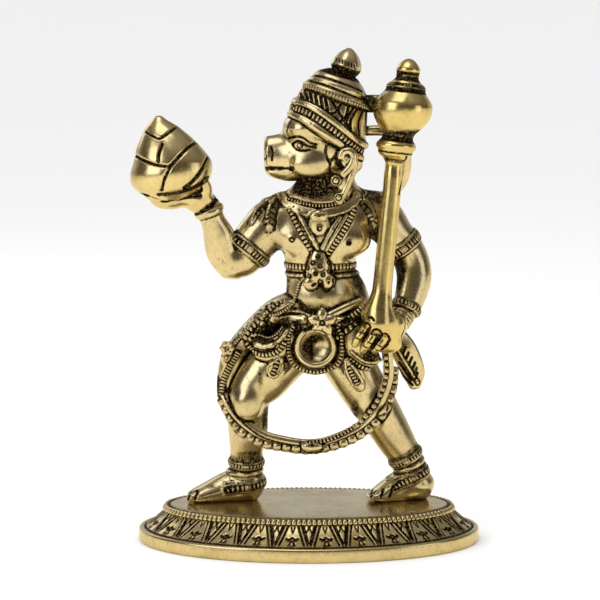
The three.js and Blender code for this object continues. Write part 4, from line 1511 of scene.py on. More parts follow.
class Head(Part):
    """The monkey head with its crown, its ears and its earrings."""

    MIDDLE = 3.0
    BANDS = {
        "brim foot": [(-6.4, 118), (-3, 116.6), (1.3, 113.6), (8.4, 108.8), (12.5, 106.3), (16, 104.6)],
        "brim top": [(-5.6, 119.9), (-2.4, 119), (2, 116.8), (8.4, 112.2), (13.4, 108.2), (17, 105.9)],
        "beads top": [(-5, 121.7), (-1.6, 121), (2.7, 118.8), (8.8, 114.3), (14.4, 109.8), (18, 107.4)],
        "roll top": [(-4, 123.2), (-0.6, 122.8), (3.7, 120.8), (8.7, 117), (15.2, 111.4), (18.4, 109.4)],
        "leaves top": [(-2.2, 126.4), (1.4, 125.4), (5.4, 123.9), (10.4, 122), (17.4, 119.6)],
        "ring top": [(-0.4, 128.5), (3, 127.9), (7.4, 126.5), (12.1, 124.6), (17.2, 122.4)],
        "dome": [(1.6, 130.2), (5, 129.6), (9.2, 128.2), (13.4, 126.6), (15.8, 125.4)],
    }

    @staticmethod
    def twins(centre: Point, radii: Point, lean: float = 0) -> tuple[Skin, Skin]:
        """A ball on the side that the front shows, and its twin on the far side."""
        x, y, z = centre
        return ball(centre, radii, lean), ball((x, 2 * Head.MIDDLE - y, z), radii, lean)

    def both(self, path: Path) -> list[Array]:
        """A path on each side of the head."""
        return [self.casting.front(path, back) for back in (False, True)]

    def carve(self, path: Path, width: float, depth: float) -> None:
        """Engraves a line on each side of the head."""
        for side in self.both(path):
            self.engrave(side, width, depth)

    def between(self, low: str, high: str, share: float = 0.5) -> list[Array]:
        """The lines between two edges of the crown's bands, one on each side of the head."""
        places = np.linspace(0, 1, 9)
        foot, top = (Spline([(x, 0, z) for x, z in self.BANDS[name]]).at(places) for name in (low, high))
        return self.both([(x, z) for x, _, z in foot * (1 - share) + top * share])

    def build(self) -> None:
        """Melts the head, then the crown over it, and carves both."""
        c = self.casting
        c.add(loft(HEAD, RIGHT, blunt=False))
        c.add(*self.twins((0.5, -3.6, 103.8), (5.4, 2.2, 3.4)), blend=2.5)
        c.add(ball((-1.2, 3, 114.4), (6.7, 8.4, 5.6)), ball((2.6, 3, 111.6), (7, 8.3, 5.4)), blend=1.5)
        c.smooth(0.35)
        self.face()
        c.add(loft(CROWN, CROWN_AXIS, blunt=False, sides=56), blend=0.3)
        c.smooth(0.25)
        self.crown()
        self.ears()

    def face(self) -> None:
        """The muzzle, the mouth, the eyes and the brows."""
        c = self.casting
        c.add(*self.twins((-2.4, -3.9, 109.6), (2.3, 1, 1.1), 0.1), blend=0.2)
        mouth = (
            ([(-15, 102.3), (-11.2, 102.4)], 1.3),
            ([(-11.6, 102.5), (-8, 102.6)], 0.85),
            ([(-8.2, 102.6), (-5.3, 102.7)], 0.4),
        )
        for path, height in mouth:
            for side in self.both(path):
                c.band(side, height, -1.2, 0.3)
                self.stain(side, 0.6 * height + 0.15, 1.5)
        for side in self.both([(-12.1, 109.6), (-12.5, 107.6), (-12.2, 105.2)]):
            c.band(side, 0.9, 0.3, 0.3)
        lines = [
            ([(-4.9, 110), (-3.9, 110.7), (-2.8, 110.9), (-1.5, 110.3), (-0.4, 109.6), (2, 109.2)], 0.38),
            ([(-4.9, 109.9), (-4, 108.8), (-3, 108.3), (-1.4, 108.2), (0.2, 108.4)], 0.38),
            ([(-6, 111.7), (-3.9, 112.3), (-2.4, 112.2), (-1.2, 111.6), (0.2, 110.6), (2.2, 110.1)], 0.42),
            ([(-11.4, 109.2), (-10.9, 107.9), (-10.8, 106.4), (-11.1, 105.1)], 0.28),
            ([(-5.6, 103.2), (-4.9, 103.2), (-4.6, 102.7), (-5, 102.2), (-5.6, 102.2)], 0.36),
            ([(5.2, 109.9), (4.8, 108.1), (5.4, 105.9), (6.4, 105.3), (7.4, 106.4), (8.4, 107.6)], 0.5),
            ([(5.1, 105.9), (6.2, 104.2), (6, 102.5), (6.9, 100.8)], 0.5),
        ]
        for path, width in lines:
            self.carve(path, width, 0.4)
        self.pupils()
        self.cloud((-14.2, 3, 106.6), (1.3, 5, 5), 0.75)
        self.cloud((-1, 3, 98.4), (9, 9, 3.4), 0.85)
        self.stipple([(-12.9, 108), (-13.1, 104.6)], 0.7, 14, 0.2)
        self.carve([(-6.7, 113.6), (-6, 115.6), (-5, 117.4)], 0.4, 0.4)
        self.cloud((-8.2, 3, 115.6), (0.9, 2.2, 2.6), 0.9)

    def pupils(self) -> None:
        """Raises each pupil and cuts a ring round it."""
        c = self.casting
        for side in self.both([(-2.8, 109.7), (-2.75, 109.7)]):
            c.band(side, 0.9, 0.25, 0.15)
            part, away = c.near(side, 1.2)
            ring = np.clip(1 - np.abs(away - 0.72) / 0.3, 0, 1)
            c.field[part] += 0.25 * ring
            self.soot[part] = np.maximum(self.soot[part] * (away > 0.7), 1.8 * ring)

    def crown(self) -> None:
        """The crown's bands, leaves and toothed ring."""
        c = self.casting
        spec = [
            ("brim foot", "brim top", 1.7, 0.55),
            ("beads top", "roll top", 2.1, 0.75),
            ("leaves top", "ring top", 2.3, 0.7),
            ("ring top", "dome", 1.1, 0.4),
        ]
        rails = {(low, high): self.between(low, high) for low, high, _, _ in spec}
        for low, high, width, height in spec:
            for side in rails[low, high]:
                c.band(side, width, height, 0.3)
        for edge in self.BANDS.values():
            self.carve(edge, 0.4, 0.3)
        for side in self.between("brim top", "beads top"):
            self.stain(side, 1.1)
            self.toothed(side, 1.8, 1.3, 0.8)
        for side in self.between("leaves top", "ring top", 0.42):
            self.toothed(side, 1.4, 0.98, 0.8)
        for path in (
            [(6.4, 123.4), (9, 119.2), (12.4, 114.4)],
            [(9.4, 122.2), (8, 119.8), (6.2, 119.2)],
            [(11.6, 121.4), (10.6, 118), (9.4, 117.2)],
            [(14.2, 120.4), (12.4, 117.6), (12, 114.8)],
            [(15.8, 119.8), (14.6, 116.4), (14.8, 112.6)],
            [(13, 120.8), (11.2, 117.6), (10.6, 115.8)],
            [(-1.4, 125.6), (-0.4, 123.4)],
            [(0.2, 125.2), (0.8, 122.8)],
            [(1.8, 124.6), (2.4, 121.8)],
            [(3.4, 124.2), (4, 120.8)],
            [(4.8, 123.8), (5.6, 119.8)],
            [(-2.6, 124.8), (-1.8, 123.6)],
        ):
            self.carve(path, 0.6, 0.5)
        self.finial()

    def finial(self) -> None:
        """The knob on the crown with its milled foot, and the crest that runs down the crown's front."""
        c = self.casting
        c.add(ball((11.2, 3, 131.3), (3.9, 3.8, 2.3)), blend=0.5)
        c.add(turned(FINIAL, (10.6, 3, 130.85), (12.2, 3, 138.25), lobes=self.lobes), blend=0.3)
        self.stain(c.ring((10.6, 3, 130.6), (0.28, 0, 1), 9), 2.6, 1.5)
        self.cloud((11.6, 3, 131.4), (4.8, 4.8, 2.2), 1.1)
        # Painted shade down the crown's right side, in the gap next to the mace.
        self.cloud((18.8, 1, 117.6), (3, 9, 6.5), 1.8)
        notches = (
            (7.9, 135), (8.8, 134.7), (9.7, 134.3), (10.6, 134), (11.5, 133.6), (12.4, 133.2), (13.3, 132.8),
        )
        for x, z in notches:
            self.carve([(x, z + 0.5), (x + 0.2, z - 0.5)], 0.12, 0.3)
        for side in self.both([(-0.2, 128.4), (-2.4, 124.9), (-4.2, 121.8), (-5.2, 119.4)]):
            c.band(side, 1.4, 0.5, 0.2)
            self.stain(side + (1.3, 0, 0), 0.7, 1.5)
            for point in side[2::4]:
                self.engrave(point[None] - (0.4, 0, 0), 0.25, 0.3)

    @staticmethod
    def lobes(_height: Array, turn: Array) -> Array:
        """Seven shallow lobes round the finial, the same at every height."""
        return 1 + 0.02 * np.cos(7 * turn)

    def ears(self) -> None:
        """The curled ears and the earrings, one on each side."""
        c = self.casting
        curl = [
            (9.4, 106.6), (10, 107.8), (11.8, 108.2), (13, 107), (12.8, 104.8), (11.6, 102.8), (10.2, 101.4),
        ]
        lobe = [(13.2, 106.2), (13.4, 103.4), (12.4, 100.6), (11.4, 98), (10.2, 95.4), (9, 93.2)]
        inner = [(10.9, 106.4), (10.4, 105.6), (11.2, 105.2), (11.7, 106)]
        for y, way in ((-4.9, -1), (10.9, 1)):
            c.add(ball((11.6, y, 105.6), (2.2, 1.2, 2.8)), ball((10.4, y, 99.2), (2.2, 1.2, 3.4)), blend=0.8)
            for path, radius, out in ((curl, 1.2, 0.5), (lobe, 1.1, 0.3), (inner, 0.5, 0.9)):
                line = Spline([(x, y + way * out, z) for x, z in path]).evenly()
                c.bead(line, radius)
            for x, z, size in ((7.9, 99.4, 1.75), (8.7, 94.4, 1.55)):
                c.add(ball((x, y + 0.3 * way, z), (size, 1.3, size)), blend=0.4)
                self.ring_dot(x, z, 0.85 * size, way > 0)
            self.stain(Spline([(x, y, z) for x, z in curl]).evenly(), 1.5, 0.5)


class Mace(Part):
    """The mace and the left hand that grips it."""

    def build(self) -> None:
        """Turns the mace, melts the hand round it and cuts its joints."""
        c = self.casting
        rod = turned(MACE, MACE_FOOT, MACE_TIP, lobes=self.lobes)
        rod.points[:, 0] += np.interp(rod.points[:, 2], *MACE_BEND)
        c.add(rod)
        c.smooth(0.25)
        hand = [
            (21.1, -7.4, 64, 3, 2.8), (20.6, -7.4, 60.4, 4.3, 3.2), (21.4, -6.6, 56.4, 5, 3.8),
            (22, -5.6, 52.6, 4.6, 3.6),
        ]
        knuckles = ball((21.4, -4.8, 51.8), (6.6, 3.4, 3.8), 0.35)
        heel = ball((25, -3.4, 55.4), (3.4, 3.4, 4.4), 0.5)
        c.add(loft(hand), knuckles, heel, blend=1.6)
        c.smooth(0.3)
        self.fingers()
        self.tarnish()

    def fingers(self) -> None:
        """The fingers round the grip, their gaps, nails and joints."""
        c = self.casting
        fingers = [
            ([(16.8, -7.2, 56.4), (15.7, -8.4, 54.4), (14.4, -8.6, 52.7), (13.6, -7.6, 50.6)], 1.15),
            ([(19.6, -8.6, 55), (17.9, -9.4, 51.9), (16.7, -9.2, 50.4), (16, -8.2, 48.9)], 1.15),
            ([(22.3, -8.2, 53), (20.9, -8.8, 50.8), (19.9, -8.6, 49.7), (19.4, -7.8, 48.9)], 1.2),
        ]
        for path, radius in fingers:
            c.add(loft([(*p, radius, radius) for p in path]), blend=0.3)
        self.cuts(
            [(17.7, 55.8), (16.7, 53.4), (15.6, 51.2), (14.8, 49.2)],
            [(21.4, 53.6), (19.7, 51), (17.9, 48.8)],
            [(23.9, 52.2), (22.8, 50.2), (21.2, 48.9)],
            width=0.75,
            depth=0.9,
        )
        self.cuts(
            [(18.4, 54.4), (19.1, 55.6), (20.2, 55.8), (21.1, 55.1), (21.6, 53.9)],
            [(21.7, 54.2), (22.5, 54.4), (23.4, 53.6), (23.9, 52.4)],
            [(16.2, 57.3), (17.4, 57.5), (18.1, 56.6), (18, 55.6)],
            [(17.5, 59.2), (18.5, 59.2), (19.2, 58.4)],
            width=0.4,
        )
        for x, z in ((15.7, 54.4), (14.4, 52.7), (17.9, 51.6), (16.7, 50.3), (20.9, 50.6), (19.8, 49.4)):
            self.cuts([(x - 0.6, z + 0.3), (x + 0.6, z - 0.3)], width=0.15, depth=0.2)

    def tarnish(self) -> None:
        """The patina in the mace's necks, its toothed collar and the patches on its shaft."""
        c = self.casting
        foot, way = np.array(MACE_FOOT), unit(np.array(MACE_TIP, float) - MACE_FOOT)
        necks = (
            (51.6, 1, 0.7), (53.9, 0.4, 1.2), (57.8, 1.2, 1.5), (72.4, 1, 1.5), (75.8, 1.1, 1.5),
            (77.5, 0.6, 1.5),
        )
        for height, reach, amount in necks:
            self.stain(c.ring(foot + way * height, way, 10), reach, amount)
        self.row(c.ring(foot + way * 74, way, 10), Unit.TOOTH, 0.8, (0.5, 1.7, 0.5), stain=0.0)
        self.cloud(foot + way * 60.2, (8.4, 8.4, 2.6), 1.1)
        self.cloud(foot + way * 70.6 + (-3, -3, 0), (6, 6, 2.4), 0.45)
        self.cuts([(28.6, 106.6), (28.2, 103.4), (27.4, 99.4), (26.6, 95.6)], width=0.5)
        for x, z, amount in ((20.4, 71, 0.5), (21.2, 64, 0.45), (25.6, 74, 0.4), (24, 90, 0.35)):
            self.cloud((x, -10.5, z), (1.6, 4, 4), amount)

    @staticmethod
    def lobes(height: Array, turn: Array) -> Array:
        """Shallow lobes on the mace head only."""
        on_head = ease(60, 63, height) * (1 - ease(70, 71.6, height))
        return 1 - 0.022 * on_head * np.clip(np.cos(9 * turn + 0.6) - 0.8, 0, 1) * 5


class Waist(Part):
    """The cloths, belts, pouch, swags and tassels round the hips."""

    HIPS = [(2.6, 5, 43.6, 9, 8.2), (2.6, 5, 49.6, 12.2, 9.6), (3, 5, 56, 12.6, 9.8), (3.6, 5, 61, 11.2, 8.8)]
    # A fifth of a turn, and the turns of the buckle's first petal and of the first gap beside it.
    FIFTH = 1.257
    FIRST_PETAL = 1.57
    FIRST_GAP = 2.2
    PETAL = [(0.6, 0.2, 0.8, 0.9), (1.8, 0, 1.4, 1), (3, 0.1, 1.55, 0.9), (4.4, 0.3, 0.3, 0.5)]

    def build(self) -> None:
        """Melts the cloths and lays their trims on them."""
        c = self.casting
        c.add(loft(self.HIPS, UP, blunt=False))
        c.add(loft(HIP_SASH, blunt=False), blend=1.2)
        c.add(loft(REAR_SASH_END, blunt=False), blend=0.8)
        c.add(ball((-25, 2.4, 45.4), (1.8, 1.8, 1.8)), blend=0.5)
        c.add(
            loft([(12.5, -1.5, 57, 3, 3), (15, -3.2, 50, 4.6, 3), (17.6, -1.8, 44, 4.4, 2.6)]),
            loft([(-6.4, -2.6, 53, 3, 3), (-10.4, -2.2, 48.6, 4.2, 2.6), (-15, -0.6, 48.6, 3.6, 2.6)]),
            blend=1.2,
        )
        c.smooth(0.4)
        self.belts()
        self.swags()
        self.tassels()
        self.pouch()
        self.sashes()

    def belts(self) -> None:
        """The belts above the pouch."""
        c = self.casting
        self.cloud((-10, 0, 56), (10, 9, 7), 0.7)
        self.cloud((12, -1, 56), (8, 9, 7), 0.7)
        c.bead(Spline([(6, -4.2, 58.8), (11, -3.2, 61.2), (15.6, -1.4, 63)]).evenly(), 1.35, 0.3)
        c.bead(Spline([(8.6, -4.6, 56.6), (11.5, -4, 57.8), (15, -2.4, 60.2)]).evenly(), 1.1, 0.3)
        self.cloud((-3.4, -5, 56.4), (4.4, 4, 2.2), 0.9)
        self.plain(([(6.4, 59.2), (10.9, 61.2), (15.4, 62.8)], 2.5), height=0.2)
        self.plain(
            ([(-8.2, 57.8), (-5, 56.8), (-0.9, 55.5)], 0.6),
            ([(-6.4, 62), (-2.4, 61.8), (0.8, 60.8)], 0.7),
            ([(-5, 60), (-2.6, 59.8), (0.6, 58.6)], 0.7),
            height=0.35,
        )
        self.stipple([(-17, 58), (-13, 60.4), (-9.6, 62.6)], 2.6, 46)
        self.stipple([(-9, 60), (-5, 58.4), (-1, 57)], 2.2, 30)
        self.cuts([(-4.4, 60.8), (-2.1, 60.7), (0.6, 59.6)], [(-6, 59), (-3, 58.7), (0.4, 57.4)])
        self.ladder([(9, 56.5), (11.5, 57.8), (14, 59.5), (16.1, 61.6)], 1.8, 1.15)
        self.ladder([(14.8, 57.5), (13, 56), (11.5, 54.7), (9.6, 53.3), (8.6, 52)], 2, 1.6, 0.8)
        self.ladder([(-8.4, 62.6), (-10.3, 61.4), (-11.8, 60), (-13.5, 58.4)], 1.6, 1.2)
        self.rope([(-4.6, 62.4), (-5.9, 61.2), (-9.2, 59.1), (-11.5, 58.5)])
        back = c.ring((3, 5, 57.4), UP, 16, (-60, 240))
        c.band(back, 3, 0.6, 0.3)
        self.toothed(c.ring((3, 5, 57.4), UP, 16, (-20, 200)), 1.6, 1.15, 0.8)
        self.buckle()

    def buckle(self) -> None:
        """The five-petalled flower on the belt, with black between its petals."""
        c = self.casting
        middle = np.array([3.9, -7.2, 57.2])
        c.add(ball(middle + (0, 2.2, 0), (3, 2.6, 3)), blend=0.4)
        for i in range(5):
            way, turn = (
                np.array([math.cos(first + self.FIFTH * i), 0, math.sin(first + self.FIFTH * i)])
                for first in (self.FIRST_PETAL, self.FIRST_GAP)
            )
            petal = [(*(middle + way * far + (0, lift, 0)), *half) for far, lift, *half in self.PETAL]
            c.add(loft(petal), blend=0.2)
            self.stain(np.array([middle + (0, -1.2, 0) + way * far for far in (2, 2.8)]), 0.35)
            self.stain(np.array([middle + (0, -0.8, 0) + turn * far for far in (2, 2.8, 3.6)]), 0.5)
        self.ring_dot(3.9, 57.2, 1.3)

    def swags(self) -> None:
        """The two swags that hang below the belt, each a plain roll over a toothed one."""
        c = self.casting
        self.cloud((-12.6, -2, 51), (5.4, 5, 3.6), 0.95)
        self.cloud((17.6, -3, 47.4), (5.4, 5, 3.4), 1)
        self.plain(
            ([(-17.8, 51.4), (-16, 49.9), (-13.6, 49.3), (-11.3, 49.8), (-8.8, 51.6), (-6.2, 54.8)], 1.1),
            ([(-15.6, 49.8), (-13.6, 49.3), (-11, 50)], 1.9),
            ([(12.8, 48.1), (14.7, 46.4), (16.8, 45.1), (19.5, 44.7), (22, 45.3)], 1),
            height=0.9,
        )
        right = [
            (-18.7, 49.8), (-17.2, 48.1), (-15.1, 47), (-13, 46.8), (-10.7, 47.5), (-8.6, 48.7), (-7.4, 50.6),
        ]
        self.ladder(right, 1.9, 1.15)
        left = [(12.4, 45.6), (14.9, 43.6), (16.8, 42.8), (18.7, 42.3), (20.3, 42.5), (22.4, 43.2)]
        self.ladder(left, 1.8, 1.05)
        self.ladder([(-13.4, 58.9), (-15.1, 56.8), (-16.8, 55.1), (-18.3, 53.4), (-19.3, 51.7)], 2.4, 1.5)
        self.beaded(c.front([(-14.9, 52.5), (-12.6, 51.9), (-10.7, 52.5), (-9.2, 53.6), (-8, 55.1)]), 0.85)
        self.leaf([(-14.4, 56.2), (-13, 54.6), (-11.2, 53.8)], 2.2, 0.7)
        self.rope([(-18.1, 54.1), (-20.4, 51.5), (-23, 48.6)])
        self.stipple([(-12, 56.6), (-15, 54), (-17, 52)], 3, 40)
        self.stipple([(-19, 56), (-22, 52), (-24.6, 47)], 2.4, 40)

    def tassels(self) -> None:
        """The leaf tassels at the inner ends of the swags."""
        for stations, sides, teeth in (
            (
                [(-8.6, -3.8, 45.8, 1.2, 1.2), (-10, -3.6, 43.2, 2.6, 1.4), (-10.9, -3.2, 40.6, 1.6, 0.9)],
                [[(-9.5, 45.7), (-12.5, 43.1), (-11.8, 40.8), (-10.7, 40.1), (-8.9, 41.2), (-7.8, 44.2)]],
                [(-9.5, 44.8), (-10.1, 43.1), (-10.7, 41.5)],
            ),
            (
                [
                    (11.1, -3.8, 45.6, 1, 1.2), (13.4, -3.2, 41.6, 2.9, 1.4),
                    (14.8, -2.6, 38.4, 2.4, 1.3), (15.6, -2.2, 36.2, 1.2, 0.9),
                ],
                [
                    [(10.7, 45.4), (11.2, 42.3), (12.3, 39.3), (13.4, 37), (14.5, 35.8)],
                    [(12.8, 43.8), (14.7, 41.3), (16.2, 38.5)],
                ],
                [(12, 42.9), (13.2, 40.6), (14.5, 38.3)],
            ),
        ):
            self.casting.add(loft(stations), blend=0.3)
            self.plain(*[(side, 0.65) for side in sides], height=0.4)
            self.ladder(teeth, 1.6, 0.95)

    def pouch(self) -> None:
        """The open pouch under the buckle, its thick lip and its toothed trim."""
        c = self.casting
        middle, level = 1.85, 49.0
        centre = np.array([middle, -4.2, level])
        half = [
            (0, 7.3), (2.2, 7), (4.6, 6.2), (6.8, 4.6), (7.9, 1.8), (7.9, -1.2), (7.7, -4.2), (6.6, -6.4),
        ]
        trim = [(middle - x, level - z) for x, z in reversed(half)]
        trim += [(middle + x, level - z) for x, z in half[1:]]
        c.bead(Spline([(x, -3.4, z) for x, z in trim]).evenly(), 0.9)
        c.add(ball(centre, (6.5, 3.9, 6)), blend=0.4)
        c.cut(ball(centre + (0, -3.9, 0.8), (5.3, 4.2, 5.3)), blend=0.4)
        angles = np.radians(np.linspace(130, 410, 24))
        lip = Spline([(middle + 5.5 * math.cos(a), -6.2, 49.6 + 5.6 * math.sin(a)) for a in angles]).evenly()
        c.bead(lip, 0.65, 0.3)
        self.cloud(centre + (-1.9, 0, 0.2), (2.4, 4, 2.6), 1.2)
        self.wipe(lip, 0.9, 0.1)
        self.ladder(trim, 1.3, 1.05, 0.66, 0.5)
        self.rub(centre + (1.9, 0, -0.6), (3.8, 4, 4.6), 0.85)

    def sashes(self) -> None:
        """The striped edges of the sash on the right hip and of its end behind the left hip."""
        c = self.casting
        self.cloud((-20, 4, 47), (6, 8, 5), 0.6)
        self.plain(([(-21.4, 52), (-23.9, 48.6), (-25, 45.4)], 0.8))
        edge = [(-21.4, 46.8), (-22.7, 44.3), (-23.9, 42.3), (-25.2, 40), (-26.1, 37.4), (-26.5, 34)]
        self.ladder(edge, 2.1, 0.9)
        self.plain(([(27, 46.6), (28.9, 43.2), (31.1, 39.7), (33.3, 35.8)], 0.9), dark=0.8)
        for x, z in ((29.6, 46.6), (30.6, 45), (31.6, 43.4), (32.6, 41.8), (33.2, 40), (33.4, 38.4)):
            self.cuts([(x - 0.2, z + 0.5), (x - 1, z - 1.5)], width=0.5)
        self.cuts(
            [(27.4, 40.6), (29.4, 37.4), (31.6, 35.2)],
            [(27.6, 42.4), (29.6, 39.2), (31.2, 36.8)],
            width=0.6,
        )
        for i in range(6):
            turn = 2 * math.pi * i / 6
            knot = (-24.6 + 1.4 * math.cos(turn), 1.2, 48.2 + 1.4 * math.sin(turn))
            c.add(ball(knot, (1, 1, 1)), blend=0.15)
        self.stain(c.front([(-25.2, 48.4), (-24.8, 48.4)]), 0.8, 0.8)
        self.cloud((28, 12, 48), (5, 5, 4), 0.6)


class Legs(Part):
    """Both legs with their anklets and feet."""

    ANKLETS = ((RIGHT_LEG, (0.821, 0.88, 0.932, 0.98)), (LEFT_LEG, (0.735, 0.79, 0.832, 0.876)))
    ANKLET_SIZES = (((2.5, 0.7), 1.05), ((1.2, 0.5), 0), ((0.8, 0.4), 0), ((3.3, 0.5), 1.25))
    TOE_PITCH = 2.1
    TOES = (
        [(19.5, 3.6), (18.9, 2)],
        [(22.6, 4.4), (22, 2)],
        [(25.3, 4.5), (24.5, 2)],
        [(-36.2, 2.9), (-36.9, 1.3)],
        [(-33.8, 3.8), (-34.6, 1.7)],
    )

    def build(self) -> None:
        """Melts each leg with its foot, and dresses both."""
        c = self.casting
        for leg, foot in ((RIGHT_LEG, RIGHT_FOOT), (LEFT_LEG, LEFT_FOOT)):
            c.add(loft(leg), blend=0.4)
            c.add(loft(foot), blend=1.8)
            self.toes(foot)
        knees = ((-18.2, -1.4, 31), (20.2, 0.6, 30))
        c.add(*(ball(knee, (3.6, 1.8, 4)) for knee in knees), blend=2.5)
        c.smooth(0.4)
        self.anklets()
        self.clefts()
        self.clouds(
            ((3, 4, 47), (12, 9, 5), 0.9),
            ((-8, 4, 39), (4, 8, 5), 0.6),
            ((11, 5, 39), (4, 8, 5), 0.6),
            ((-30, 3, 5.6), (3, 3, 1.6), 0.6),
            ((-13.4, 5, 27), (2.4, 7, 7), 0.8),
            ((-14.6, -2, 40), (1.4, 3, 5), 0.5),
            ((-18, 3, 15), (6, 7, 2.4), 0.6),
            ((22, -1, 33), (3, 4, 5), 0.6),
            ((14, 3, 30), (2, 7, 6), 0.6),
        )
        height = c.places(tuple(slice(0, n) for n in c.size))[2]
        c.field = np.maximum(c.field, -height + np.zeros_like(c.field))

    def toes(self, foot: Path) -> None:
        """Melts four toes to the end of a foot.

        Args:
            foot: the foot's stations.
        """
        x, y, z = foot[-1][:3]
        for place in (-1.5, -0.5, 0.5, 1.5):
            toe = [
                (x + 2, y + place * self.TOE_PITCH, z + 0.4, 1.3, 1.15),
                (x - 1, y - 0.2 + place * self.TOE_PITCH, z + 0.1, 1.25, 1.15),
                (x - 3 + 0.5 * abs(place), y - 0.6 + place * 2, z - 0.3, 1.1, 1.05),
            ]
            self.casting.add(loft(toe), blend=0.35)

    def clefts(self) -> None:
        """Leaves patina between the toes and cuts their gaps."""
        for foot in (RIGHT_FOOT, LEFT_FOOT):
            x, y, z = foot[-1][:3]
            for place in (-1, 0, 1):
                side = y + place * self.TOE_PITCH
                gap = Spline([(x - 2.6, side - 0.6, z + 1.1), (x + 0.6, side, z + 1.9)])
                self.stain(gap.evenly(), 0.8, 0.9)
        self.cuts(*self.TOES, width=0.55, depth=0.5)

    def anklets(self) -> None:
        """Rings each ankle with a toothed band, two plain ones and a broad toothed one."""
        for leg, shares in self.ANKLETS:
            self.stain(self.limb_ring(leg, shares[0] - 0.03, 9), 2, 0.55)
            for share, (size, teeth) in zip(shares, self.ANKLET_SIZES):
                self.bangle(leg, share, 9, size, teeth)


class Garland(Part):
    """The two strips that swing from hip to hip between the legs."""

    def build(self) -> None:
        """Sweeps the strips and sets their rungs."""
        c = self.casting
        for path, half_width in ((GARLAND_INNER, 1.7), (GARLAND_OUTER, 1.5)):
            c.add(loft([(*p, half_width, 0.85) for p in path], blunt=False))
        c.smooth(0.2)
        left, right = ([(x, z) for x, _, z in part] for part in (GARLAND_INNER[:6], GARLAND_INNER[5:]))
        self.plain((left, 2.9), height=0.3, dark=0.2)
        self.cuts([(x + 0.2, z - 0.5) for x, z in left], width=0.15)
        self.ladder([(x - 0.5, z + 0.5) for x, z in right[:3]], 1.7, 1.05, 0.6)
        self.ladder([(x - 0.6, z + 0.3) for x, z in right[2:]], 1.6, 1.9, 0.84)
        self.ladder([(x, z) for x, _, z in GARLAND_OUTER], 2.8, 2.9, 0.98)
        c.add(ball((0.8, -3.6, 18.9), (3.4, 1.5, 1.9)), blend=0.3)
        self.wipe(c.front([(-1.8, 19), (3.4, 19)]), 1.6)
        self.cuts(
            [(-0.2, 20.6), (0.8, 19.6), (1.8, 20.6)],
            [(-2.6, 17.4), (-2.7, 20.4)],
            [(4.2, 17.6), (4.3, 20.6)],
        )


class Tail(Part):
    """The tail that loops behind the mace, and the caster's stub beside it."""

    def build(self) -> None:
        """Sweeps the tail and melts the stub."""
        c = self.casting
        c.add(loft(TAIL))
        c.add(loft([(14, 2, 121.8, 2.6, 1.8), (22, -1, 121.8, 2.8, 1.8)], blunt=False))
        c.smooth(0.3)
        self.cloud((18, 1, 121.8), (6, 5, 5), 1)
        self.cloud((18, 5.6, 111.6), (7, 4, 1.8), 0.9)


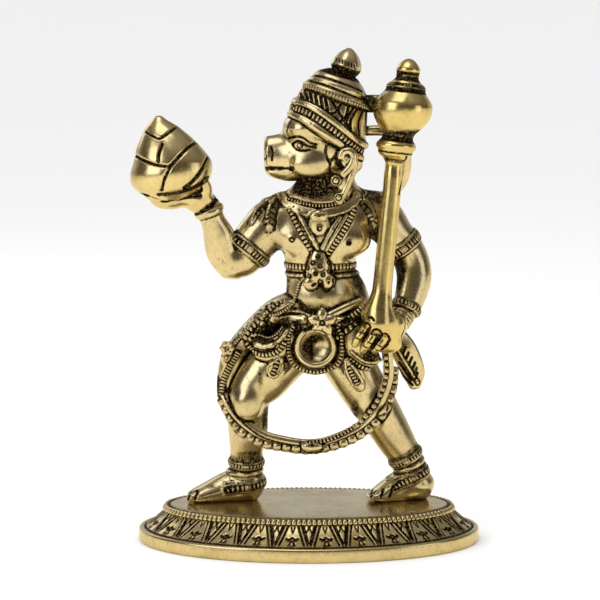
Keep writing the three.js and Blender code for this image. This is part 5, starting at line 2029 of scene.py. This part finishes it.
@dataclass
class Plinth:
    """The oval plinth: a smooth flange, a carved border and a milled rim round a flat top.

    Its sizes are millimetres in the shared frame.
    """

    flange: tuple = (51.5, 33.5)
    top: tuple = (44.0, 24.0)
    height: float = 11.0
    flange_height: float = 4.2
    rounding: float = 0.7
    border_step: float = 2.0
    border_hollow: float = 0.5
    rim_height: float = 1.5
    rim_lip: float = 0.6
    leaves: int = 24
    around: int = 1200
    border_rows: int = 26
    tooth_pitch: float = 1.5
    tooth: tuple = (1.45, 2.1, 1.0)
    leaf_pitch: float = 10.2
    leaf_rise: float = 6.6
    turns: Array = field(init=False)

    CORNER = tuple(np.radians([0, 30, 60, 90]))
    THICK = (
        ((0.03, 0.03), (0.23, 0.97)),
        ((0.13, 0.03), (0.36, 0.97)),
        ((0.5, 0.40), (0.40, 0.30), (0.33, 0.36)),
    )
    THIN = (
        ((0.02, 0.22), (0.16, 0.90)),
        ((0.09, 0.62), (0.02, 0.78), (0.02, 0.92)),
        ((0.5, 0.62), (0.44, 0.86)),
        ((0.40, 0.12), (0.46, 0.05)),
    )
    RINGS = ((0.0, 0.12, 0.045), (0.5, 0.17, 0.06))
    TOP = (
        (0.3, 0.42, 0.9), (0.55, 0.32, 0.55), (0.8, 0.3, 0.6), (2.0, 0.3, 0.6), (2.2, 0.18, 0.35),
        (2.5, 0.04, 0.06), (3.0, 0, 0.0), (8, 0, 0.0), (16, 0, 0.0), (23.4, 0, 0.0),
    )

    def __post_init__(self) -> None:
        """Finds the turns that every ring of points has."""
        self.turns = self.even_turns()

    def ring(self, spread: float, inset: Array | float, height: float) -> Array:
        """A ring of points from the rim's outline, spread 0, out to the flange's, spread 1."""
        wide, deep = (self.top[i] + (self.flange[i] - self.top[i]) * spread - inset for i in (0, 1))
        turn = self.turns
        return np.stack([wide * np.cos(turn), deep * np.sin(turn), np.full(self.around, height)], axis=1)

    def even_turns(self) -> Array:
        """Turns whose points are evenly spaced along the border, the first at the front."""
        fine = np.linspace(-math.pi / 2, 1.5 * math.pi, 7201)
        a, b = (0.5 * (self.top[i] + self.flange[i]) for i in (0, 1))
        run = np.r_[0, np.cumsum(np.hypot(np.diff(a * np.cos(fine)), np.diff(b * np.sin(fine))))]
        return np.interp(np.arange(self.around) / self.around * run[-1], run, fine)

    def strokes(self, share: float) -> tuple[Array, Array]:
        """The border's strokes at one height.

        Args:
            share: how far up the border, from 0 to 1.

        Returns:
            Relief in millimetres and patina, for every turn.
        """
        place = np.arange(self.around) / self.around * self.leaves
        s = np.abs((place + 0.5) % 1 - 0.5)
        pitch, rise = self.leaf_pitch, self.leaf_rise
        groove, soot = np.zeros(self.around), np.zeros(self.around)
        for lines, width, depth in ((self.THICK, 0.52, 0.5), (self.THIN, 0.34, 0.3)):
            for line in lines:
                for (s0, t0), (s1, t1) in zip(line, line[1:]):
                    dx, dz = (s1 - s0) * pitch, (t1 - t0) * rise
                    px, pz = (s - s0) * pitch, (share - t0) * rise
                    w = np.clip((px * dx + pz * dz) / (dx * dx + dz * dz), 0, 1)
                    away = np.hypot(px - w * dx, pz - w * dz)
                    groove = np.maximum(groove, depth * (1 - ease(0.15 * width, 0.75 * width, away)))
                    soot = np.maximum(soot, 1 - ease(0.35 * width, 0.95 * width, away))
        for s0, t0, radius in self.RINGS:
            away = np.abs(np.hypot((s - s0) * pitch, (share - t0) * rise) - radius * pitch)
            groove = np.maximum(groove, 0.28 * (1 - ease(0.05, 0.35, away)))
            soot = np.maximum(soot, 0.85 * (1 - ease(0.1, 0.4, away)))
        leaf = 0.35 * (1 - ease(0.02, 0.1, np.minimum(np.abs(s - (0.05 + 0.28 * share)), 1)))
        return leaf * math.sin(math.pi * min(max(share, 0), 1)) - groove, soot

    def build(self, maker: RowMaker, finish: bpy.types.Material) -> None:
        """Builds the piece.

        Args:
            maker: sets the milled rim's teeth.
            finish: the brass.
        """
        top, rim = self.height, self.height - self.rim_height
        rings, soot = [], []

        def lay(ring: Array, dark: Array | float) -> None:
            """Adds a ring with its patina."""
            rings.append(ring)
            soot.append(np.full(self.around, dark) if np.isscalar(dark) else dark)

        for share in (0.0, 0.3, 0.6, 0.85, 0.97):
            lay(self.ring(share, self.rounding * share, 0.0), 0.35)
        for angle in self.CORNER:
            inset, height = self.rounding * (1 - math.sin(angle)), self.rounding * (1 - math.cos(angle))
            lay(self.ring(1, inset, height), 0.1)
        lay(self.ring(1, 0, 0.5 * self.flange_height), 0.0)
        for angle in self.CORNER:
            height = self.flange_height - self.rounding * (1 - math.sin(angle))
            lay(self.ring(1, self.rounding * (1 - math.cos(angle)), height), 0.0)
        lay(self.ring(1, 0.6 * self.border_step, self.flange_height), 0.05)
        lay(self.ring(1, 0.9 * self.border_step, self.flange_height - 0.12), 0.8)
        for share in np.linspace(0, 1, self.border_rows):
            relief, dark = self.strokes(share)
            edge = min(1.0, 8 * share, 8 * (1 - share))
            inset = self.border_step + (self.rim_lip - self.border_step) * share
            inset += self.border_hollow * math.sin(share * math.pi) - relief * edge
            height = self.flange_height + (rim - self.flange_height) * share
            ends = max(1 - ease(0.0, 0.07, share), ease(0.90, 0.97, share))
            lay(self.ring(1 - share, inset, height), np.maximum(dark * edge, float(ends)))
        lay(self.ring(0, self.rim_lip, rim + 0.02), 1.0)
        lay(self.ring(0, 0.1, rim + 0.06), 0.5)
        for angle in self.CORNER:
            inset, height = 0.5 * (1 - math.sin(angle + 0.35)), rim + 0.1 + 0.42 * (1 - math.cos(angle))
            lay(self.ring(0, inset, height), 0.1 + 0.5 * angle)
        for inset, depth, dark in self.TOP:
            lay(self.ring(0, inset, top - depth), dark)
        marks = np.r_[np.concatenate(soot), 0.3, 0.0]
        self.dress(maker, finish, skin_of(np.stack(rings)), marks)

    def dress(self, maker: RowMaker, finish: bpy.types.Material, skin: Skin, marks: Array) -> None:
        """Joins the rim's teeth to the plinth and gives it its patina and finish.

        Args:
            maker: sets the teeth.
            finish: the brass.
            skin: the plinth without them.
            marks: its patina at each point.
        """
        line = self.ring(0, 0.38, self.height - 0.9)
        line = np.vstack([line, line[:1]])
        slope = unit(unit(line * (1, 1, 0)) * 0.85 + (0, 0, 0.5))
        row = Row(line, slope, Unit.TOOTH, self.tooth_pitch, *self.tooth, uneven=0.06)
        more, sides = maker.mesh(row)
        faces = [tuple(face) for face in (*skin.quads, *skin.tris)]
        points, faces = with_more(skin.points, faces, more, sides)
        soot = np.r_[marks, np.full(len(more), 0.05)]
        gold = np.full(len(points), 0.35)
        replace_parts(as_piece("plinth_brass", points * MM, faces, finish, soot=soot, gold=gold), "plinth")


@dataclass
class Stage:
    """The pale floor, the soft lights and the camera."""

    eye: tuple = (-0.0027, -0.750, 0.170)
    aim: tuple = (-0.0027, 0.0, 0.073)
    lens: float = 151.25
    floor: float = 40.0
    surround: float = 1.0
    room: float = 0.05
    overhead: float = 0.3
    wall: float = 0.55
    warmth: tuple = (1.0, 0.76, 0.48, 1.0)
    lights: tuple = (
        ("key", (-0.55, -0.5, 0.4), 0.5, 1.9),
        ("fill", (0.65, -0.35, 0.22), 0.35, 1.1),
        ("top", (-0.1, -0.15, 0.8), 0.5, 1.5),
        ("rim", (-0.45, 0.55, 0.45), 0.4, 1.0),
    )

    def build(self) -> None:
        """Sets the stage."""
        corners = [(x * self.floor, y * self.floor, 0) for x, y in ((-1, -1), (1, -1), (1, 1), (-1, 1))]
        floor = mesh_object("floor", corners, [(0, 1, 2, 3)])
        floor.data.materials.append(PalePaper().material())
        for name, place, size, power in self.lights:
            lamp = bpy.data.lights.new(name, "AREA")
            lamp.size, lamp.energy = size, power * math.pi * size**2
            self.aimed(bpy.data.objects.new(name, lamp), place, (0, 0, 0.08))
        bpy.context.scene.world = self.sky()
        view = bpy.data.cameras.new("camera")
        view.lens, view.sensor_width = self.lens, 36.0
        camera = bpy.data.objects.new("camera", view)
        self.aimed(camera, self.eye, self.aim)
        bpy.context.scene.camera = camera
        bpy.context.scene.view_settings.view_transform = "Standard"

    def sky(self) -> bpy.types.World:
        """Builds the surround.

        Returns:
            A white world, which reflections see as a dim warm room with a pale wall behind the figure.
        """
        world = bpy.data.worlds.new("studio")
        g = Graph(world)
        way = g.node("TexCoord", {}, {}).out("Generated")
        parts = g.node("SeparateXYZ", {}, {"Vector": way})
        height, behind = parts.value("Z"), parts.value("Y")
        wall = behind.between(0.0, 0.85) * (1 - height.between(0.15, 0.6))
        room = self.room + height.between(0.2, 1.0) * self.overhead + wall * self.wall
        glossy = g.node("LightPath", {}, {}).value("Is Glossy Ray")
        strength = self.surround + glossy * (room - self.surround)
        colour = g.mixed(strength.between(0.0, 0.5), self.warmth, (1.0, 1.0, 1.0, 1.0))
        shader = g.node("Background", {}, {"Color": colour, "Strength": strength})
        g.node("OutputWorld", {}, {"Surface": shader.out("Background")})
        return world

    def aimed(self, thing: bpy.types.Object, place: Point, target: Point) -> None:
        """Puts a light or the camera in its place.

        Args:
            thing: the light or the camera.
            place: where it stands.
            target: what it is turned to.
        """
        thing.location = place
        way = Vector(target) - Vector(place)
        thing.rotation_euler = way.to_track_quat("-Z", "Y").to_euler()
        bpy.context.scene.collection.objects.link(thing)


def main() -> None:
    """Builds every piece and sets the stage."""
    logging.basicConfig(level=logging.INFO, format="%(message)s")
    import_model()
    finish = AntiquedBrass().material()
    figure = Figure(finish)
    figure.parts = [
        Trunk("trunk_brass", (-35, -9, 42), (40, 15, 105), 0.32),
        RaisedHand("hill_hand_brass", (-56, -16, 86), (-24, 10, 121), 0.28, gold=0.5),
        Head("head_brass", (-15.6, -9, 88), (19, 15, 140), 0.25),
        Mace("mace_brass", (8, -17, 44), (44, 8, 139), 0.28, gold=1.0),
        Waist("waist_brass", (-31, -15, 26), (38, 19, 70), 0.28),
        Legs("legs_brass", (-37, -9, -1.5), (41, 21, 56), 0.32),
        Garland("garland_brass", (-31, -9, 13), (29, 9, 51), 0.28),
        Tail("tail_brass", (-1, -4, 48), (34, 25, 126), 0.32),
    ]
    for part in figure.parts:
        part.build()
        LOG.info("%s: cast", part.name)
    for part in figure.parts:
        figure.piece(part)
    Plinth().build(figure.maker, finish)
    Stage().build()


if __name__ == "__main__":
    main()
